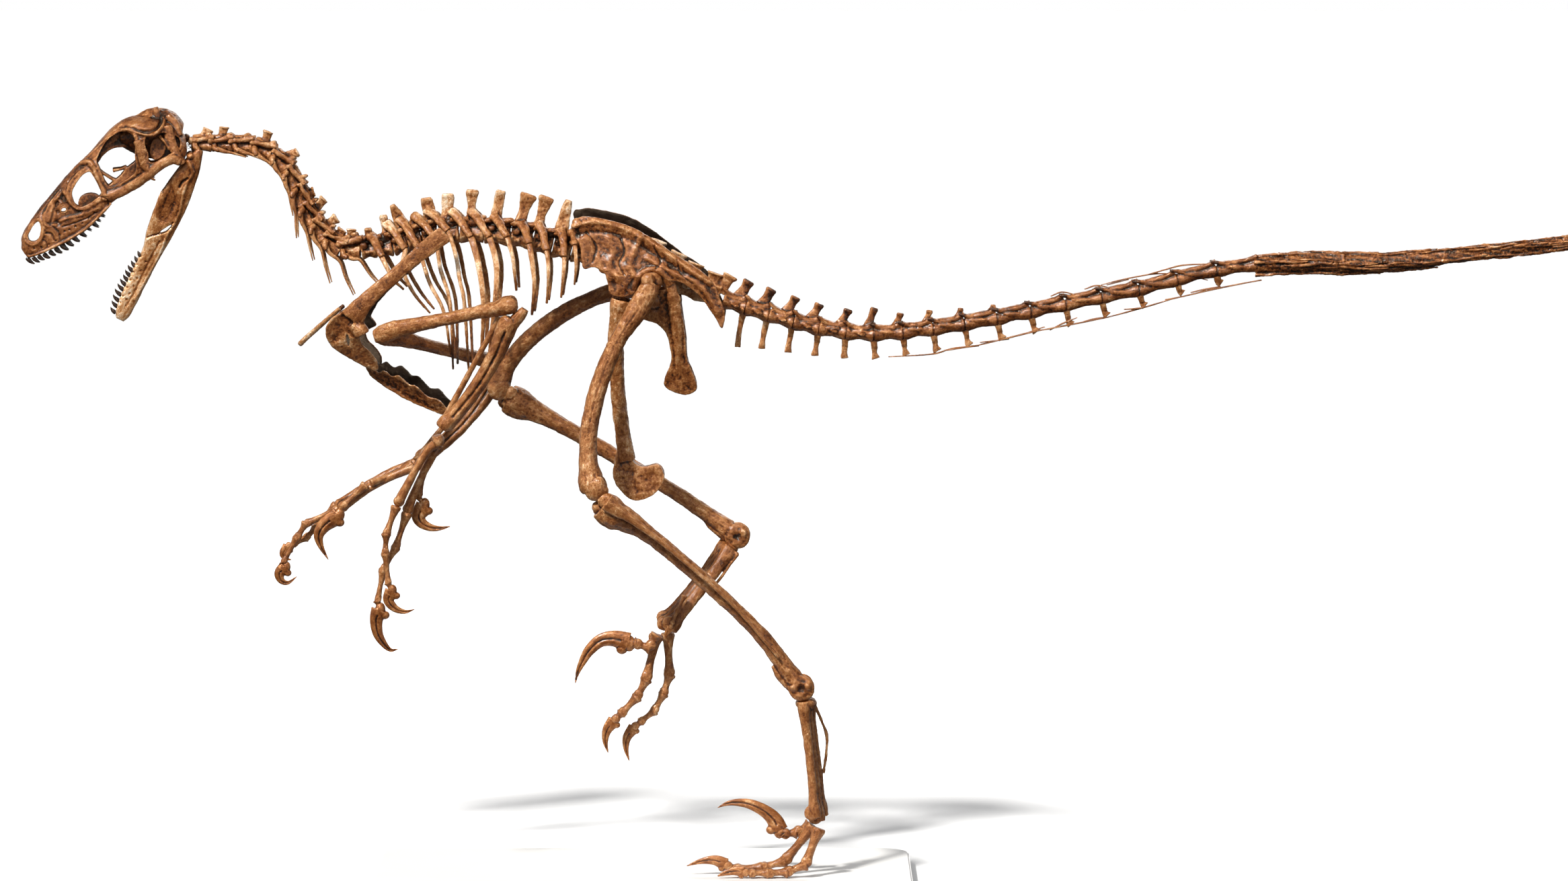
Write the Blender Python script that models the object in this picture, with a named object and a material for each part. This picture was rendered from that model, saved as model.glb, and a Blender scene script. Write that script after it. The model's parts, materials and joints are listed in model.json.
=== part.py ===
"""Mounted skeleton of a small dromaeosaur (Bambiraptor feinbergi), striding on its left foot.

The animal faces -X, its left side is -Y and +Z is up. The origin is the centre of the
base plate's underside. Sizes below are millimetres; MM turns them into metres.
"""
import math

import bmesh
import bpy
import numpy as np
from mathutils import Matrix, Vector

MM = 0.001

# Driving dimensions, in millimetres.
HEAD_TURN = math.radians(7)
SKULL_PITCH = math.radians(34)
SKULL_ORIGIN = (-276.6, 0.0, 456.2)
JAW_PITCH = math.radians(63.3)
JAW_HINGE = (-270.0, 447.0)
NECK_BONES = 11
BACK_BONES = 12
TAIL_BONES = 28
BASE_LENGTH = 330.0
BASE_WIDTH = 170.0
BASE_THICK = 9.0
BASE_CORNER = 18.0
JOINT_GAP = 0.7
NECK_GAP = 2.4

# Centre line of the vertebral bodies, (x, z), in four runs from the skull to the tail's tip.
NECK_LINE = ((-272.5, 453.5), (-262, 453), (-243, 452.5), (-231, 450), (-220, 442.5), (-211.5, 429),
             (-204.5, 412), (-194, 397.5), (-183.5, 390), (-171, 389))
BACK_LINE = ((-166, 389.5), (-152, 391.5), (-137, 395.5), (-122, 399), (-104, 400), (-88, 399),
             (-72.5, 396.5), (-61, 393.5), (-49, 390.5), (-36, 387.5))
SACRUM_LINE = ((-29.5, 386), (-14, 383), (4, 377.5), (24, 369.5), (45, 361))
TAIL_LINE = ((49, 359), (78, 350), (106, 342.5), (140, 338.5), (176, 341.5), (216, 348),
             (258, 356.5), (302, 365.5), (347, 376.5), (395, 382), (450, 382.5), (500, 387.5),
             (563, 394.5), (620, 402), (672, 409))

# Joints of each leg and arm, (x, y, z).
LEGS = {
    "left": {"out": -1, "hip": (7.0, -21, 371.8), "knee": (-29.4, -35, 245.6),
             "shin": (-22.0, -35, 239.0), "ankle": (97.0, -20, 125.0), "bow": 1.0,
             "foot": (100.0, -19, 115.6), "ball": (105.8, -16, 43.5)},
    "right": {"out": 1, "hip": (7.0, 21, 371.8), "knee": (-93.3, 52, 302.0),
              "shin": (-84.0, 52, 296.5), "ankle": (57.6, 50, 210.5), "bow": 0.4,
              "foot": (52.0, 48.5, 203.0), "ball": (11.5, 34, 156.5)},
}
ARMS = {
    "left": {"out": -1, "shoulder": (-160.5, -29, 339.3), "elbow": (-74.5, -56, 361.0),
             "forearm": (-76.5, -57, 352.5), "wrist": (-119.0, -44, 285.5)},
    "right": {"out": 1, "shoulder": (-163.0, 29, 336.0), "elbow": (-91.0, 71, 316.8),
              "forearm": (-91.5, 71, 309.5), "wrist": (-139.5, 50, 257.5)},
}

BONE_BROWN = (0.31, 0.125, 0.04)
PALE_STEEL = (0.72, 0.72, 0.70)


def clear_scene():
    for item in list(bpy.data.objects):
        bpy.data.objects.remove(item, do_unlink=True)


def finish_material(name, colour, roughness, metallic):
    material = bpy.data.materials.new(name)
    material.use_nodes = True
    shader = material.node_tree.nodes["Principled BSDF"]
    shader.inputs["Base Color"].default_value = (*colour, 1.0)
    shader.inputs["Roughness"].default_value = roughness
    shader.inputs["Metallic"].default_value = metallic
    return material


# ---- Shape tools: every shape is drawn in millimetres into a bmesh ----

def smooth_line(rows, steps=4):
    """Catmull-Rom curve through the rows, with `steps` pieces between neighbours."""
    rows = np.array(rows, dtype=float)
    first = 2 * rows[0] - rows[1]
    last = 2 * rows[-1] - rows[-2]
    posts = np.vstack([first, rows, last])
    curve = []
    for a, b, c, d in zip(posts, posts[1:], posts[2:], posts[3:]):
        for share in np.arange(steps) / steps:
            bend = (2 * a - 5 * b + 4 * c - d) * share ** 2
            twist = (3 * b - a - 3 * c + d) * share ** 3
            curve.append(0.5 * (2 * b + (c - a) * share + bend + twist))
    curve.append(rows[-1])
    return np.array(curve)


def smooth_loop(rows, steps=3):
    """Closed Catmull-Rom outline through the rows."""
    rows = list(rows)
    wrapped = smooth_line(rows[-2:] + rows + rows[:2], steps)
    return wrapped[2 * steps:-2 * steps - 1 + steps][:len(rows) * steps]


def loft(mesh, rows, across=(0, 1, 0), steps=3, sides=8, square=1.0, axis=None):
    """Skin a limb through rows of (x, y, z, half width across, half depth).

    Its rings stand across its own line, or across `axis` where one is given.
    """
    path = smooth_line(rows, steps)
    ways = np.gradient(path[:, :3], axis=0) if axis is None else [axis] * len(path)
    rings = []
    for row, way in zip(path, ways):
        centre = Vector(row[:3])
        along = Vector(way).normalized()
        side = Vector(across)
        side = (side - along * side.dot(along)).normalized()
        deep = along.cross(side)
        ring = []
        for step in range(sides):
            turn = math.tau * (step + 0.5) / sides
            cos, sin = math.cos(turn), math.sin(turn)
            reach = (abs(cos) ** (2 * square) + abs(sin) ** (2 * square)) ** (-0.5 / square)
            spot = centre + side * (cos * reach * max(row[3], 0.25))
            spot += deep * (sin * reach * max(row[4], 0.25))
            ring.append(mesh.verts.new(spot * MM))
        rings.append(ring)
    for near, far in zip(rings, rings[1:]):
        for step in range(sides):
            after = (step + 1) % sides
            mesh.faces.new((near[step], near[after], far[after], far[step]))
    mesh.faces.new(rings[0][::-1])
    mesh.faces.new(rings[-1])


def ball(mesh, centre, radii, pitch=0.0):
    """Ellipsoid with radii along x, y, z, pitched about Y."""
    place = Matrix.Translation(Vector(centre) * MM) @ Matrix.Rotation(pitch, 4, "Y")
    place = place @ Matrix.Diagonal((*(Vector(radii) * MM), 1.0))
    bmesh.ops.create_icosphere(mesh, subdivisions=2, radius=1.0, matrix=place)


def slab(mesh, outline, thick, depth, steps=3, place=None):
    """Plate with a smooth closed (x, z) outline; depth(x, z) gives the y of its mid plane."""
    place = place or (lambda x, y, z: Vector((x, y, z)))
    loop = smooth_loop(outline, steps)
    area = sum(a[0] * b[1] - b[0] * a[1] for a, b in zip(loop, np.roll(loop, -1, axis=0)))
    if area < 0:
        loop = loop[::-1]
    faces = []
    for offset in (-thick / 2, thick / 2):
        faces.append([mesh.verts.new(place(x, depth(x, z) + offset, z) * MM) for x, z in loop])
    near, far = faces
    mesh.faces.new(near)
    mesh.faces.new(far[::-1])
    for step in range(len(loop)):
        after = (step + 1) % len(loop)
        mesh.faces.new((near[after], near[step], far[step], far[after]))


def carry_shape(start, end, profile, bow=1.0):
    """Rows for a bone from start to end; profile rows are (share, offset, half width, half depth).

    The offset, scaled by `bow`, curves the bone in its own side plane.
    """
    start, end = Vector(start), Vector(end)
    along = (end - start).normalized()
    side = Vector((0, 1, 0))
    side = (side - along * side.dot(along)).normalized()
    deep = along.cross(side)
    rows = []
    for share, offset, half_side, half_deep in profile:
        spot = start.lerp(end, share) + deep * (offset * bow)
        rows.append((*spot, half_side, half_deep))
    return rows


# ---- Joining: drawn shapes become one body, are cut, and are reduced to plain facets ----

def temporary(mesh):
    data = bpy.data.meshes.new("work")
    bmesh.ops.recalc_face_normals(mesh, faces=mesh.faces)
    mesh.to_mesh(data)
    mesh.free()
    item = bpy.data.objects.new("work", data)
    bpy.context.scene.collection.objects.link(item)
    return item


def settle(item):
    """Apply the object's modifiers and give back its triangle count."""
    graph = bpy.context.evaluated_depsgraph_get()
    data = bpy.data.meshes.new_from_object(item.evaluated_get(graph))
    item.modifiers.clear()
    item.data = data
    data.calc_loop_triangles()
    return len(data.loop_triangles)


def merge_bodies(item, grain):
    remesh = item.modifiers.new("merge", "REMESH")
    remesh.mode = "VOXEL"
    remesh.voxel_size = grain * MM
    settle(item)


def cut_away(item, mesh):
    tool = temporary(mesh)
    tool.hide_render = True
    tool.display_type = "WIRE"
    boolean = item.modifiers.new("cut", "BOOLEAN")
    boolean.operation = "DIFFERENCE"
    boolean.object = tool
    boolean.solver = "EXACT"
    settle(item)
    bpy.data.objects.remove(tool, do_unlink=True)


def add_shapes(item, mesh):
    bmesh.ops.recalc_face_normals(mesh, faces=mesh.faces)
    mesh.from_mesh(item.data)
    mesh.to_mesh(item.data)
    mesh.free()


def keep_largest_body(item):
    mesh = bmesh.new()
    mesh.from_mesh(item.data)
    unseen = set(mesh.verts)
    bodies = []
    while unseen:
        body = {unseen.pop()}
        edge_of_body = list(body)
        while edge_of_body:
            vert = edge_of_body.pop()
            for edge in vert.link_edges:
                other = edge.other_vert(vert)
                if other in unseen:
                    unseen.discard(other)
                    body.add(other)
                    edge_of_body.append(other)
        bodies.append(body)
    bodies.sort(key=len)
    for body in bodies[:-1]:
        bmesh.ops.delete(mesh, geom=list(body), context="VERTS")
    mesh.to_mesh(item.data)
    mesh.free()


def bone_piece(name, mesh, facets, grain=0.6, cuts=(), extra=None):
    """One node: merge the drawn shapes, cut and add to them, then reduce to `facets`."""
    item = temporary(mesh)
    merge_bodies(item, grain)
    for cut in cuts:
        cut_away(item, cut)
    if extra is not None:
        add_shapes(item, extra)
    if cuts or extra is not None:
        merge_bodies(item, grain)
    keep_largest_body(item)
    item.data.calc_loop_triangles()
    reduce = item.modifiers.new("facets", "DECIMATE")
    reduce.ratio = min(1.0, facets / len(item.data.loop_triangles))
    reduce.use_collapse_triangulate = True
    settle(item)
    keep_largest_body(item)
    item.name = name
    item.data.name = name
    item.data.materials.clear()
    item.data.materials.append(finish_material(name, BONE_BROWN, 0.32, 0.0))
    item.data.shade_smooth()
    item.data.set_sharp_from_angle(angle=math.radians(50))
    return item


# ---- Skull and jaws ----

def turned(x, y, z):
    """Swing a place about the neck joint, as the head looks a little to its left."""
    cos, sin = math.cos(HEAD_TURN), math.sin(HEAD_TURN)
    ahead = x - SKULL_ORIGIN[0]
    return Vector((SKULL_ORIGIN[0] + ahead * cos - y * sin, ahead * sin + y * cos, z))


def head_axis(pitch):
    """Forward direction of a part of the head at the given pitch."""
    flat = math.cos(pitch)
    return (-flat * math.cos(HEAD_TURN), -flat * math.sin(HEAD_TURN), -math.sin(pitch))


def skull_spot(u, y, v):
    """Place in the skull's own frame: u forwards from the occiput, v up across it."""
    cos, sin = math.cos(SKULL_PITCH), math.sin(SKULL_PITCH)
    x0, _, z0 = SKULL_ORIGIN
    return turned(x0 - u * cos - v * sin, y, z0 - u * sin + v * cos)


HEAD_ACROSS = (-math.sin(HEAD_TURN), math.cos(HEAD_TURN), 0)
SKULL_AXIS = head_axis(SKULL_PITCH)
JAW_AXIS = head_axis(JAW_PITCH)


def skull_rows(rows):
    """Rows of (u, y, v, half width, half depth) in the skull's frame."""
    return [(*skull_spot(u, y, v), side, deep) for u, y, v, side, deep in rows]


# Outer form: (u, lower edge v, upper edge v, half width).
SKULL_FORM = ((-1.5, 2, 13, 10), (3, -6, 19.2, 17), (9, -9, 24.8, 20.5), (16, -7.2, 29.6, 22),
              (23, -6.8, 32.0, 21.5), (31, -7.5, 31.8, 19.5), (38, -7.5, 30.6, 17), (46, -7.2, 28.3, 15),
              (55, -6.4, 26.3, 13), (65, -7.8, 24.7, 11.4), (75, -10, 22.1, 10.2),
              (86, -10.4, 18.8, 9), (97, -9.3, 15.7, 7.9), (107, -7.8, 11.8, 6.6),
              (114, -6.4, 8, 5.2), (118.5, -5.6, 2, 3.4))
SKULL_WALL = 2.4


def skull_shell(inset, lower=None):
    """Loft rows of the skull's form, drawn in by `inset`, with its floor dropped to `lower`."""
    rows = []
    for u, low, high, half in SKULL_FORM:
        bottom = low + inset if lower is None else lower
        top = high - inset
        rows.append((u, 0, (top + bottom) / 2, max(half - inset, 0.8), (top - bottom) / 2))
    return rows


def through_window(outline):
    """Cutter for a window that passes through both cheeks."""
    cutter = bmesh.new()
    slab(cutter, outline, 60, lambda x, z: 0, place=skull_spot)
    return cutter


def side_window(outline, inner):
    """Cutters for a window in each cheek, from the half width `inner` outwards."""
    cutter = bmesh.new()
    reach = 30
    for side in (-1, 1):
        slab(cutter, outline, reach - inner, lambda x, z, y=side * (inner + reach) / 2: y, place=skull_spot)
    return cutter


ORBIT = ((50.5, 17), (47, 21.5), (39, 22), (32, 18), (28, 12.5), (32, 5.5), (38, 2.2), (47, 1.8), (50.5, 8))
SNOUT_WINDOW = ((57.2, 16), (62.5, 18.6), (69, 16.4), (74, 12.6), (76, 7), (73, 2.6), (66, 2), (59, 3.5),
                (57, 8))
CHEEK_WINDOW = ((21.5, 1), (24.5, 8), (21, 15), (14, 16), (7, 13), (9, 5), (15, -1.5))
SNOUT_HOLE = ((77, 14), (80, 15.5), (83, 13.6), (80.5, 11.8))
LOWER_HOLE = ((79, 7), (83, 9), (88, 7.6), (84, 4.8))
NOSTRIL = ((100.5, 8.5), (104, 10), (108.5, 7.5), (111.3, 3.6), (108.5, 0.8), (104, 2.8), (101.2, 5.6))
UPPER_TEETH = 14
LOWER_TEETH = 12


def tooth(mesh, root, tip, half):
    """Curved, flattened blade from root to tip."""
    root, tip = Vector(root), Vector(tip)
    middle = root.lerp(tip, 0.55) + Vector((half * 0.5, 0, 0))
    rows = [(*root, half * 0.6, half), (*middle, half * 0.45, half * 0.75), (*tip, 0.25, 0.25)]
    loft(mesh, rows, steps=1, sides=5)


def build_skull():
    shell = bmesh.new()
    loft(shell, skull_rows(skull_shell(0)), across=HEAD_ACROSS, steps=2, sides=16, square=1.25,
         axis=SKULL_AXIS)
    hollow = bmesh.new()
    rows = skull_rows([row for row in skull_shell(SKULL_WALL, lower=-16) if 6 < row[0] < 112])
    loft(hollow, rows, across=HEAD_ACROSS, steps=2, sides=16, square=1.25, axis=SKULL_AXIS)
    cuts = [hollow, through_window(ORBIT), through_window(SNOUT_WINDOW), through_window(NOSTRIL),
            side_window(CHEEK_WINDOW, 12), side_window(SNOUT_HOLE, 4), side_window(LOWER_HOLE, 4)]
    inside = bmesh.new()
    braincase = ((-2, 0, 6, 7, 5), (4, 0, 11, 11, 14), (14, 0, 15, 13, 16), (24, 0, 20, 12, 12),
                 (31, 0, 25, 9, 6.5))
    loft(inside, skull_rows(braincase), steps=2, sides=10)
    ball(inside, skull_spot(-1.5, 0, 1.5), (2.6, 2.6, 2.6))
    palate = ((92, 0, -3, 7.2, 1.5), (101, 0, -3.5, 6.5, 1.6), (110, 0, -3.5, 5.2, 1.8), (116, 0, -3, 4, 2))
    loft(inside, skull_rows(palate), steps=2, sides=8)
    for side in (-1, 1):
        quadrate = ((4, side * 16, 14, 3, 4), (6, side * 17, 4, 2.6, 3.2), (9.5, side * 17, -8.5, 3.4, 2.6))
        loft(inside, skull_rows(quadrate), across=(0, 1, 0), steps=2, sides=6)
        pterygoid = ((9, side * 14, -4, 1.2, 2), (30, side * 8, -2, 1.2, 2), (60, side * 5, -4, 1.2, 2),
                     (94, side * 4, -4, 1.6, 1.6))
        loft(inside, skull_rows(pterygoid), steps=2, sides=6)
        strut = ((33, side * 16, 8.8, 1.6, 1.6), (38, side * 15, 9, 1.4, 1.8),
                 (44.5, side * 14, 5.2, 1, 1.5))
        loft(inside, skull_rows(strut), steps=2, sides=6)
        for count in range(UPPER_TEETH):
            share = count / (UPPER_TEETH - 1)
            u = 116.5 - 50 * share
            gum = -5.8 - 4.8 * math.sin(math.pi * min(1, share * 1.25)) ** 0.8 - 1.5 * share
            half = 3.6 + 6.2 * share
            reach = 4.2 + 1.2 * math.sin(math.pi * share)
            tip = skull_spot(u - 1.2, side * half, gum - reach)
            tooth(inside, skull_spot(u, side * half, gum + 1.5), tip, 1.5)
    bone_piece("skull", shell, 1050, grain=0.55, cuts=cuts, extra=inside)


def jaw_spot(u, y, v):
    """Place in the lower jaw's frame: u forwards from its hinge, v up across it."""
    cos, sin = math.cos(JAW_PITCH), math.sin(JAW_PITCH)
    x0, z0 = JAW_HINGE
    return turned(x0 - u * cos - v * sin, y, z0 - u * sin + v * cos)


# Half of the jaw: (u, lower edge v, upper edge v, y of its middle, half thickness).
JAW_FORM = ((-4, -2.2, 1.8, 16.5, 2.6), (4, -4.4, 4.6, 16.3, 2.6), (14, -6.2, 7.2, 15.4, 2.2),
            (27, -7.9, 9.2, 13.6, 2.0), (40, -8.2, 8.8, 11.4, 1.9), (52, -8, 7, 9.4, 2.0),
            (65, -7.3, 4.4, 7.4, 2.1), (80, -7, 4.4, 5.4, 2.1), (95, -6.7, 4, 4.0, 2.0),
            (105, -6.2, 2.6, 3.2, 1.9), (109.5, -4.4, 0.6, 2.6, 1.5))


def build_jaw(name, side):
    mesh = bmesh.new()
    rows = []
    for u, low, high, y, half in JAW_FORM:
        rows.append((*jaw_spot(u, side * y, (low + high) / 2), half, (high - low) / 2))
    loft(mesh, rows, across=HEAD_ACROSS, steps=2, sides=10, square=1.2, axis=JAW_AXIS)
    for count in range(LOWER_TEETH):
        share = count / (LOWER_TEETH - 1)
        u = 106 - 40 * share
        y = side * (3.2 + 3.8 * share)
        gum = 2.6 + 1.6 * min(1, share * 4)
        tooth(mesh, jaw_spot(u, y, gum - 1), jaw_spot(u - 1, y, gum + 4.4), 1.4)
    slot = bmesh.new()
    outline = ((52, -0.5), (47, -0.8), (41, -5.4), (46, -4.6))
    slab(slot, outline, 12, lambda x, z: side * 11, place=jaw_spot)
    bone_piece(name, mesh, 280, grain=0.5, cuts=[slot])


# ---- Vertebrae ----

class Column:
    """A smooth (x, z) centre line that can be asked for a place and direction at a distance."""

    def __init__(self, line):
        self.points = smooth_line(line, 10)
        steps = np.linalg.norm(np.diff(self.points, axis=0), axis=1)
        self.run = np.concatenate([[0], np.cumsum(steps)])
        self.length = self.run[-1]

    def at(self, distance):
        x = np.interp(distance, self.run, self.points[:, 0])
        z = np.interp(distance, self.run, self.points[:, 1])
        return x, z

    def tilt(self, distance):
        x0, z0 = self.at(distance - 3)
        x1, z1 = self.at(distance + 3)
        return math.atan2(z1 - z0, x1 - x0)

    def frame(self, distance):
        """A function from (along, y, up) to a place, seated at the distance."""
        x, z = self.at(distance)
        tilt = self.tilt(distance)
        cos, sin = math.cos(tilt), math.sin(tilt)
        return lambda a, y, b: Vector((x + a * cos - b * sin, y, z + a * sin + b * cos))


def rows_in(frame, rows):
    return [(*frame(a, y, b), side, deep) for a, y, b, side, deep in rows]


def vertebra(mesh, frame, length, radius, spine, spine_half, wing, lean=0.0, wing_back=0.0, neck=False):
    """One vertebra: spool, arch, spine of the given height above the arch, two wings."""
    half = length / 2
    spool = ((-half, 0, 0, radius, radius), (-half * 0.5, 0, 0, radius * 0.78, radius * 0.8),
             (half * 0.5, 0, 0, radius * 0.78, radius * 0.8), (half, 0, 0, radius, radius))
    loft(mesh, rows_in(frame, spool), steps=1, sides=8)
    crown = radius * 2.0
    arch = ((-half * 0.95, 0, crown * 0.78, radius * 0.55, radius * 0.42),
            (0, 0, crown * 0.68, radius * 0.62, radius * 0.66),
            (half * 0.95, 0, crown * 0.78, radius * 0.55, radius * 0.42))
    loft(mesh, rows_in(frame, arch), steps=2, sides=6)
    if spine > 0:
        blade = ((0, 0, crown * 0.7, 1.3, spine_half),
                 (lean * 0.5, 0, crown + spine * 0.4, 1.0, spine_half * 0.92),
                 (lean, 0, crown + spine, 1.3, spine_half))
        loft(mesh, rows_in(frame, blade), steps=1, sides=6, square=1.5)
    for side in (-1, 1):
        if wing > 0:
            arm = ((0, side * radius * 0.4, radius * 1.3, half * 0.45, 1.6),
                   (wing_back * 0.5, side * wing * 0.6, radius * 1.25, half * 0.36, 1.3),
                   (wing_back, side * wing, radius * 1.05, half * 0.3, 1.2))
            loft(mesh, rows_in(frame, arm), across=(1, 0, 0), steps=1, sides=6)
        if neck:
            facet = ((-half * 1.15, side * radius * 0.9, crown * 0.62, 1.2, 1.6),
                     (0, side * radius * 0.7, crown * 0.62, 1.3, 1.8),
                     (half * 1.1, side * radius * 0.9, crown * 0.8, 1.2, 1.6))
            loft(mesh, rows_in(frame, facet), steps=2, sides=6)


# Rise of each neck bone's spine above its arch.
NECK_SPINES = (0, 4.6, 0.8, 4.2, 4.8, 0.8, 4.8, 4.8, 1.2, 1.4, 1.0)


def build_neck():
    column = Column(NECK_LINE)
    pace = column.length / NECK_BONES
    groups = (("neck_front", range(0, 4)), ("neck_middle", range(4, 8)),
              ("neck_rear", range(8, NECK_BONES)))
    for name, members in groups:
        mesh = bmesh.new()
        for count in members:
            last = count == members[-1]
            inner = count not in (members[0], members[-1])
            share = count / (NECK_BONES - 1)
            radius = 3.6 + 1.9 * share
            length = pace - (NECK_GAP if last else -0.6)
            shift = NECK_GAP / 2 if last else 0.0
            seat = column.frame((count + 0.5) * pace - shift)
            vertebra(mesh, seat, length, radius, NECK_SPINES[count], 3.2, 5.2, neck=inner)
            for side in (-1, 1):
                if count == 0:
                    continue
                reach = min(14 + 22 * share ** 2, 12 + 12 * (NECK_BONES - count))
                drop = radius * 1.7 + 3 * share + 12 * max(0, count - 7) / 3
                out = side * (6 + share)
                rib = ((-1, side * 4.6, -radius * 0.3, 1.3, 1.6),
                       (2, out - side * 0.4, -radius * 0.8, 0.9, 1.1),
                       (reach * 0.6, out, -radius * 0.9 - (drop - radius) * 0.6, 0.7, 0.8),
                       (reach, out, -drop, 0.5, 0.5))
                loft(mesh, rows_in(seat, rib), steps=2, sides=5)
        bone_piece(name, mesh, 300, grain=0.45)


# ---- Rib cage: each half holds its ribs and its half of the back's vertebrae ----

# Per vertebra: its x, the rise of its spine, and how far back and down its rib's tip lies.
BACK_X = (-165.6, -155.7, -146.3, -137.7, -128.7, -117.7, -103.3, -87.8, -72.3, -61.0, -47.4, -38.0)
SPINE_RISE = (4.9, 10.6, 14.9, 9, 13.4, 14.1, 15.7, 16.1, 16.3, 17.3, 20, 10)
RIB_SWEEP = (8, 27, 27, 25, 24, 21, 13, 9.5, 7, 5, 0.5, 0)
RIB_DROP = (12, 42, 55, 78, 82, 76, 68, 56, 44, 36, 31, 18)
LAST_RIB_X = -43.6


def back_spot(column, count):
    """Distance along the back of a vertebra."""
    return float(np.interp(BACK_X[count], column.points[:, 0], column.run))


def rib_rows(x, z, side, sweep, drop, share):
    """Rib from its head, out over the flank and in again at its tip."""
    bulge = 27.5 - 5 * share
    head = 8.5
    return ((x - 1.5, side * 5, z + 3.5, 1.3, 2.0),
            (x + 0.8, side * (head + 5), z + 3.0, 1.4, 2.2),
            (x + sweep * 0.22, side * (bulge * 0.78), z - drop * 0.12, 1.5, 1.5),
            (x + sweep * 0.55, side * bulge, z - drop * 0.42, 1.5, 1.2),
            (x + sweep * 0.85, side * bulge * 0.98, z - drop * 0.75, 1.3, 1.0),
            (x + sweep, side * bulge * 0.88, z - drop, 1.0, 0.9))


def build_rib_cage(name, side):
    column = Column(BACK_LINE)
    mesh = bmesh.new()
    for count in range(BACK_BONES):
        distance = back_spot(column, count)
        ahead = back_spot(column, min(count + 1, BACK_BONES - 1))
        behind = back_spot(column, max(count - 1, 0))
        length = (ahead - behind) / (2 if 0 < count < BACK_BONES - 1 else 1)
        share = count / (BACK_BONES - 1)
        radius = 5.0 + 1.1 * share
        frame = column.frame(distance)
        spine = SPINE_RISE[count]
        upright = (spine + radius * 2) * math.tan(column.tilt(distance))
        trim = JOINT_GAP * 2 if count in (0, BACK_BONES - 1) else -0.8
        vertebra(mesh, frame, length - trim, radius, spine, 3.6 + 1.0 * share, 10.5 - 1.5 * share,
                 lean=upright, wing_back=3.0 - 2.0 * share)
        x, z = column.at(distance)
        rib_x = min(x + 2.5, LAST_RIB_X - 3.6 * (BACK_BONES - 1 - count))
        loft(mesh, rib_rows(rib_x, z + 2, side, RIB_SWEEP[count], RIB_DROP[count], share),
             across=(1, 0, 0), steps=2, sides=5)
    other_half = bmesh.new()
    block = Matrix.Translation(Vector((-100, -side * (60 - 0.3), 380)) * MM)
    bmesh.ops.create_cube(other_half, size=1.0, matrix=block @ Matrix.Diagonal((0.3, 0.12, 0.3, 1.0)))
    bone_piece(name, mesh, 1150, grain=0.5, cuts=[other_half])


# ---- Shoulder girdle and breast ----

def shoulder_depth(x, z):
    """Half width of the shoulder blade's mid plane: widest at its rear end."""
    return 31.5 - 9.0 * min(1.0, max(0.0, (350 - z) / 25))


def build_shoulder(name, side):
    mesh = bmesh.new()
    blade = ((-117, side * 34.5, 402, 1.1, 5.6), (-122, side * 34.5, 398, 1.2, 5.8),
             (-137, side * 33.6, 386, 1.4, 4.6), (-150, side * 32.8, 374.5, 1.7, 4.4),
             (-160, side * 32, 366, 2.0, 4.6), (-169, side * 31, 357, 2.6, 5.8),
             (-174, side * 29, 350, 3.2, 7.5))
    loft(mesh, blade, steps=3, sides=8, square=1.3)
    outline = ((-181, 354), (-187, 350), (-190.3, 343), (-188.5, 335), (-182.5, 329), (-170, 321.5),
               (-161, 317.5), (-159.5, 323), (-164, 330), (-168.5, 334.5), (-170, 340), (-168, 347),
               (-170, 355), (-176, 357))
    slab(mesh, outline, 3.4, lambda x, z: side * (28 - 15 * min(1, max(0, (345 - z) / 28))))
    socket = ((-173, side * 28, 347, 4, 4), (-169, side * 29, 343, 4.2, 5),
              (-167.6, side * 29, 340.5, 3.8, 5))
    loft(mesh, socket, steps=2, sides=8)
    hole = bmesh.new()
    slab(hole, ((-177.5, 341), (-175.5, 337), (-176.5, 333), (-178, 337)), 14, lambda x, z: side * 23)
    bone_piece(name, mesh, 210, cuts=[hole])


def build_wishbone():
    mesh = bmesh.new()
    rows = []
    for share in np.linspace(-1, 1, 9):
        reach = abs(share)
        thick = 1.8 - 0.4 * reach
        rows.append((-208 + 25.5 * reach ** 1.2, 15.5 * share, 333 + 22.5 * reach ** 1.15, 1.5, thick))
    loft(mesh, rows, across=(1, 0, 1), steps=2, sides=6)
    bone_piece("wishbone", mesh, 110)


def build_breast_plate(name, side, lift):
    mesh = bmesh.new()
    outline = ((-168, 319), (-160, 316.6), (-156, 316.5), (-147, 313.5), (-135, 305), (-124, 299.5),
               (-113, 292), (-118, 290), (-130, 294), (-143.5, 300), (-156, 307.5), (-165, 314))
    outline = [(x, z + lift) for x, z in outline]
    slab(mesh, outline, 2.6, lambda x, z: side * (4.5 + 0.95 * max(0, z - lift - 290 - 0.55 * (-118 - x))))
    bone_piece(name, mesh, 110)


# ---- Arms ----

# Profiles: (share of the length, offset, half width, half depth).
HUMERUS = ((0.0, 0, 3.2, 6.0), (0.07, 0.4, 3.2, 6.2), (0.2, 1.6, 3.4, 4.9), (0.38, 1.6, 3.8, 4.1),
           (0.65, 0.2, 3.8, 3.9), (0.85, -0.6, 4.4, 4.2), (0.95, 0, 6.4, 5.2), (1.0, 0.3, 6.0, 4.4))
ULNA = ((0.0, 0, 4.6, 5.4), (0.08, 1.6, 4.2, 5.2), (0.3, 4.6, 3.6, 4.2), (0.6, 5.0, 3.4, 4.0),
        (0.85, 2.4, 3.4, 4.2), (0.96, 0.4, 4.6, 4.8), (1.0, 0, 4.4, 4.2))
RADIUS = ((0.0, 0, 2.4, 2.6), (0.1, 0, 1.8, 1.9), (0.5, 0, 1.7, 1.8), (0.9, 0, 1.9, 2.0),
          (1.0, 0, 2.6, 2.6))


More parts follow.
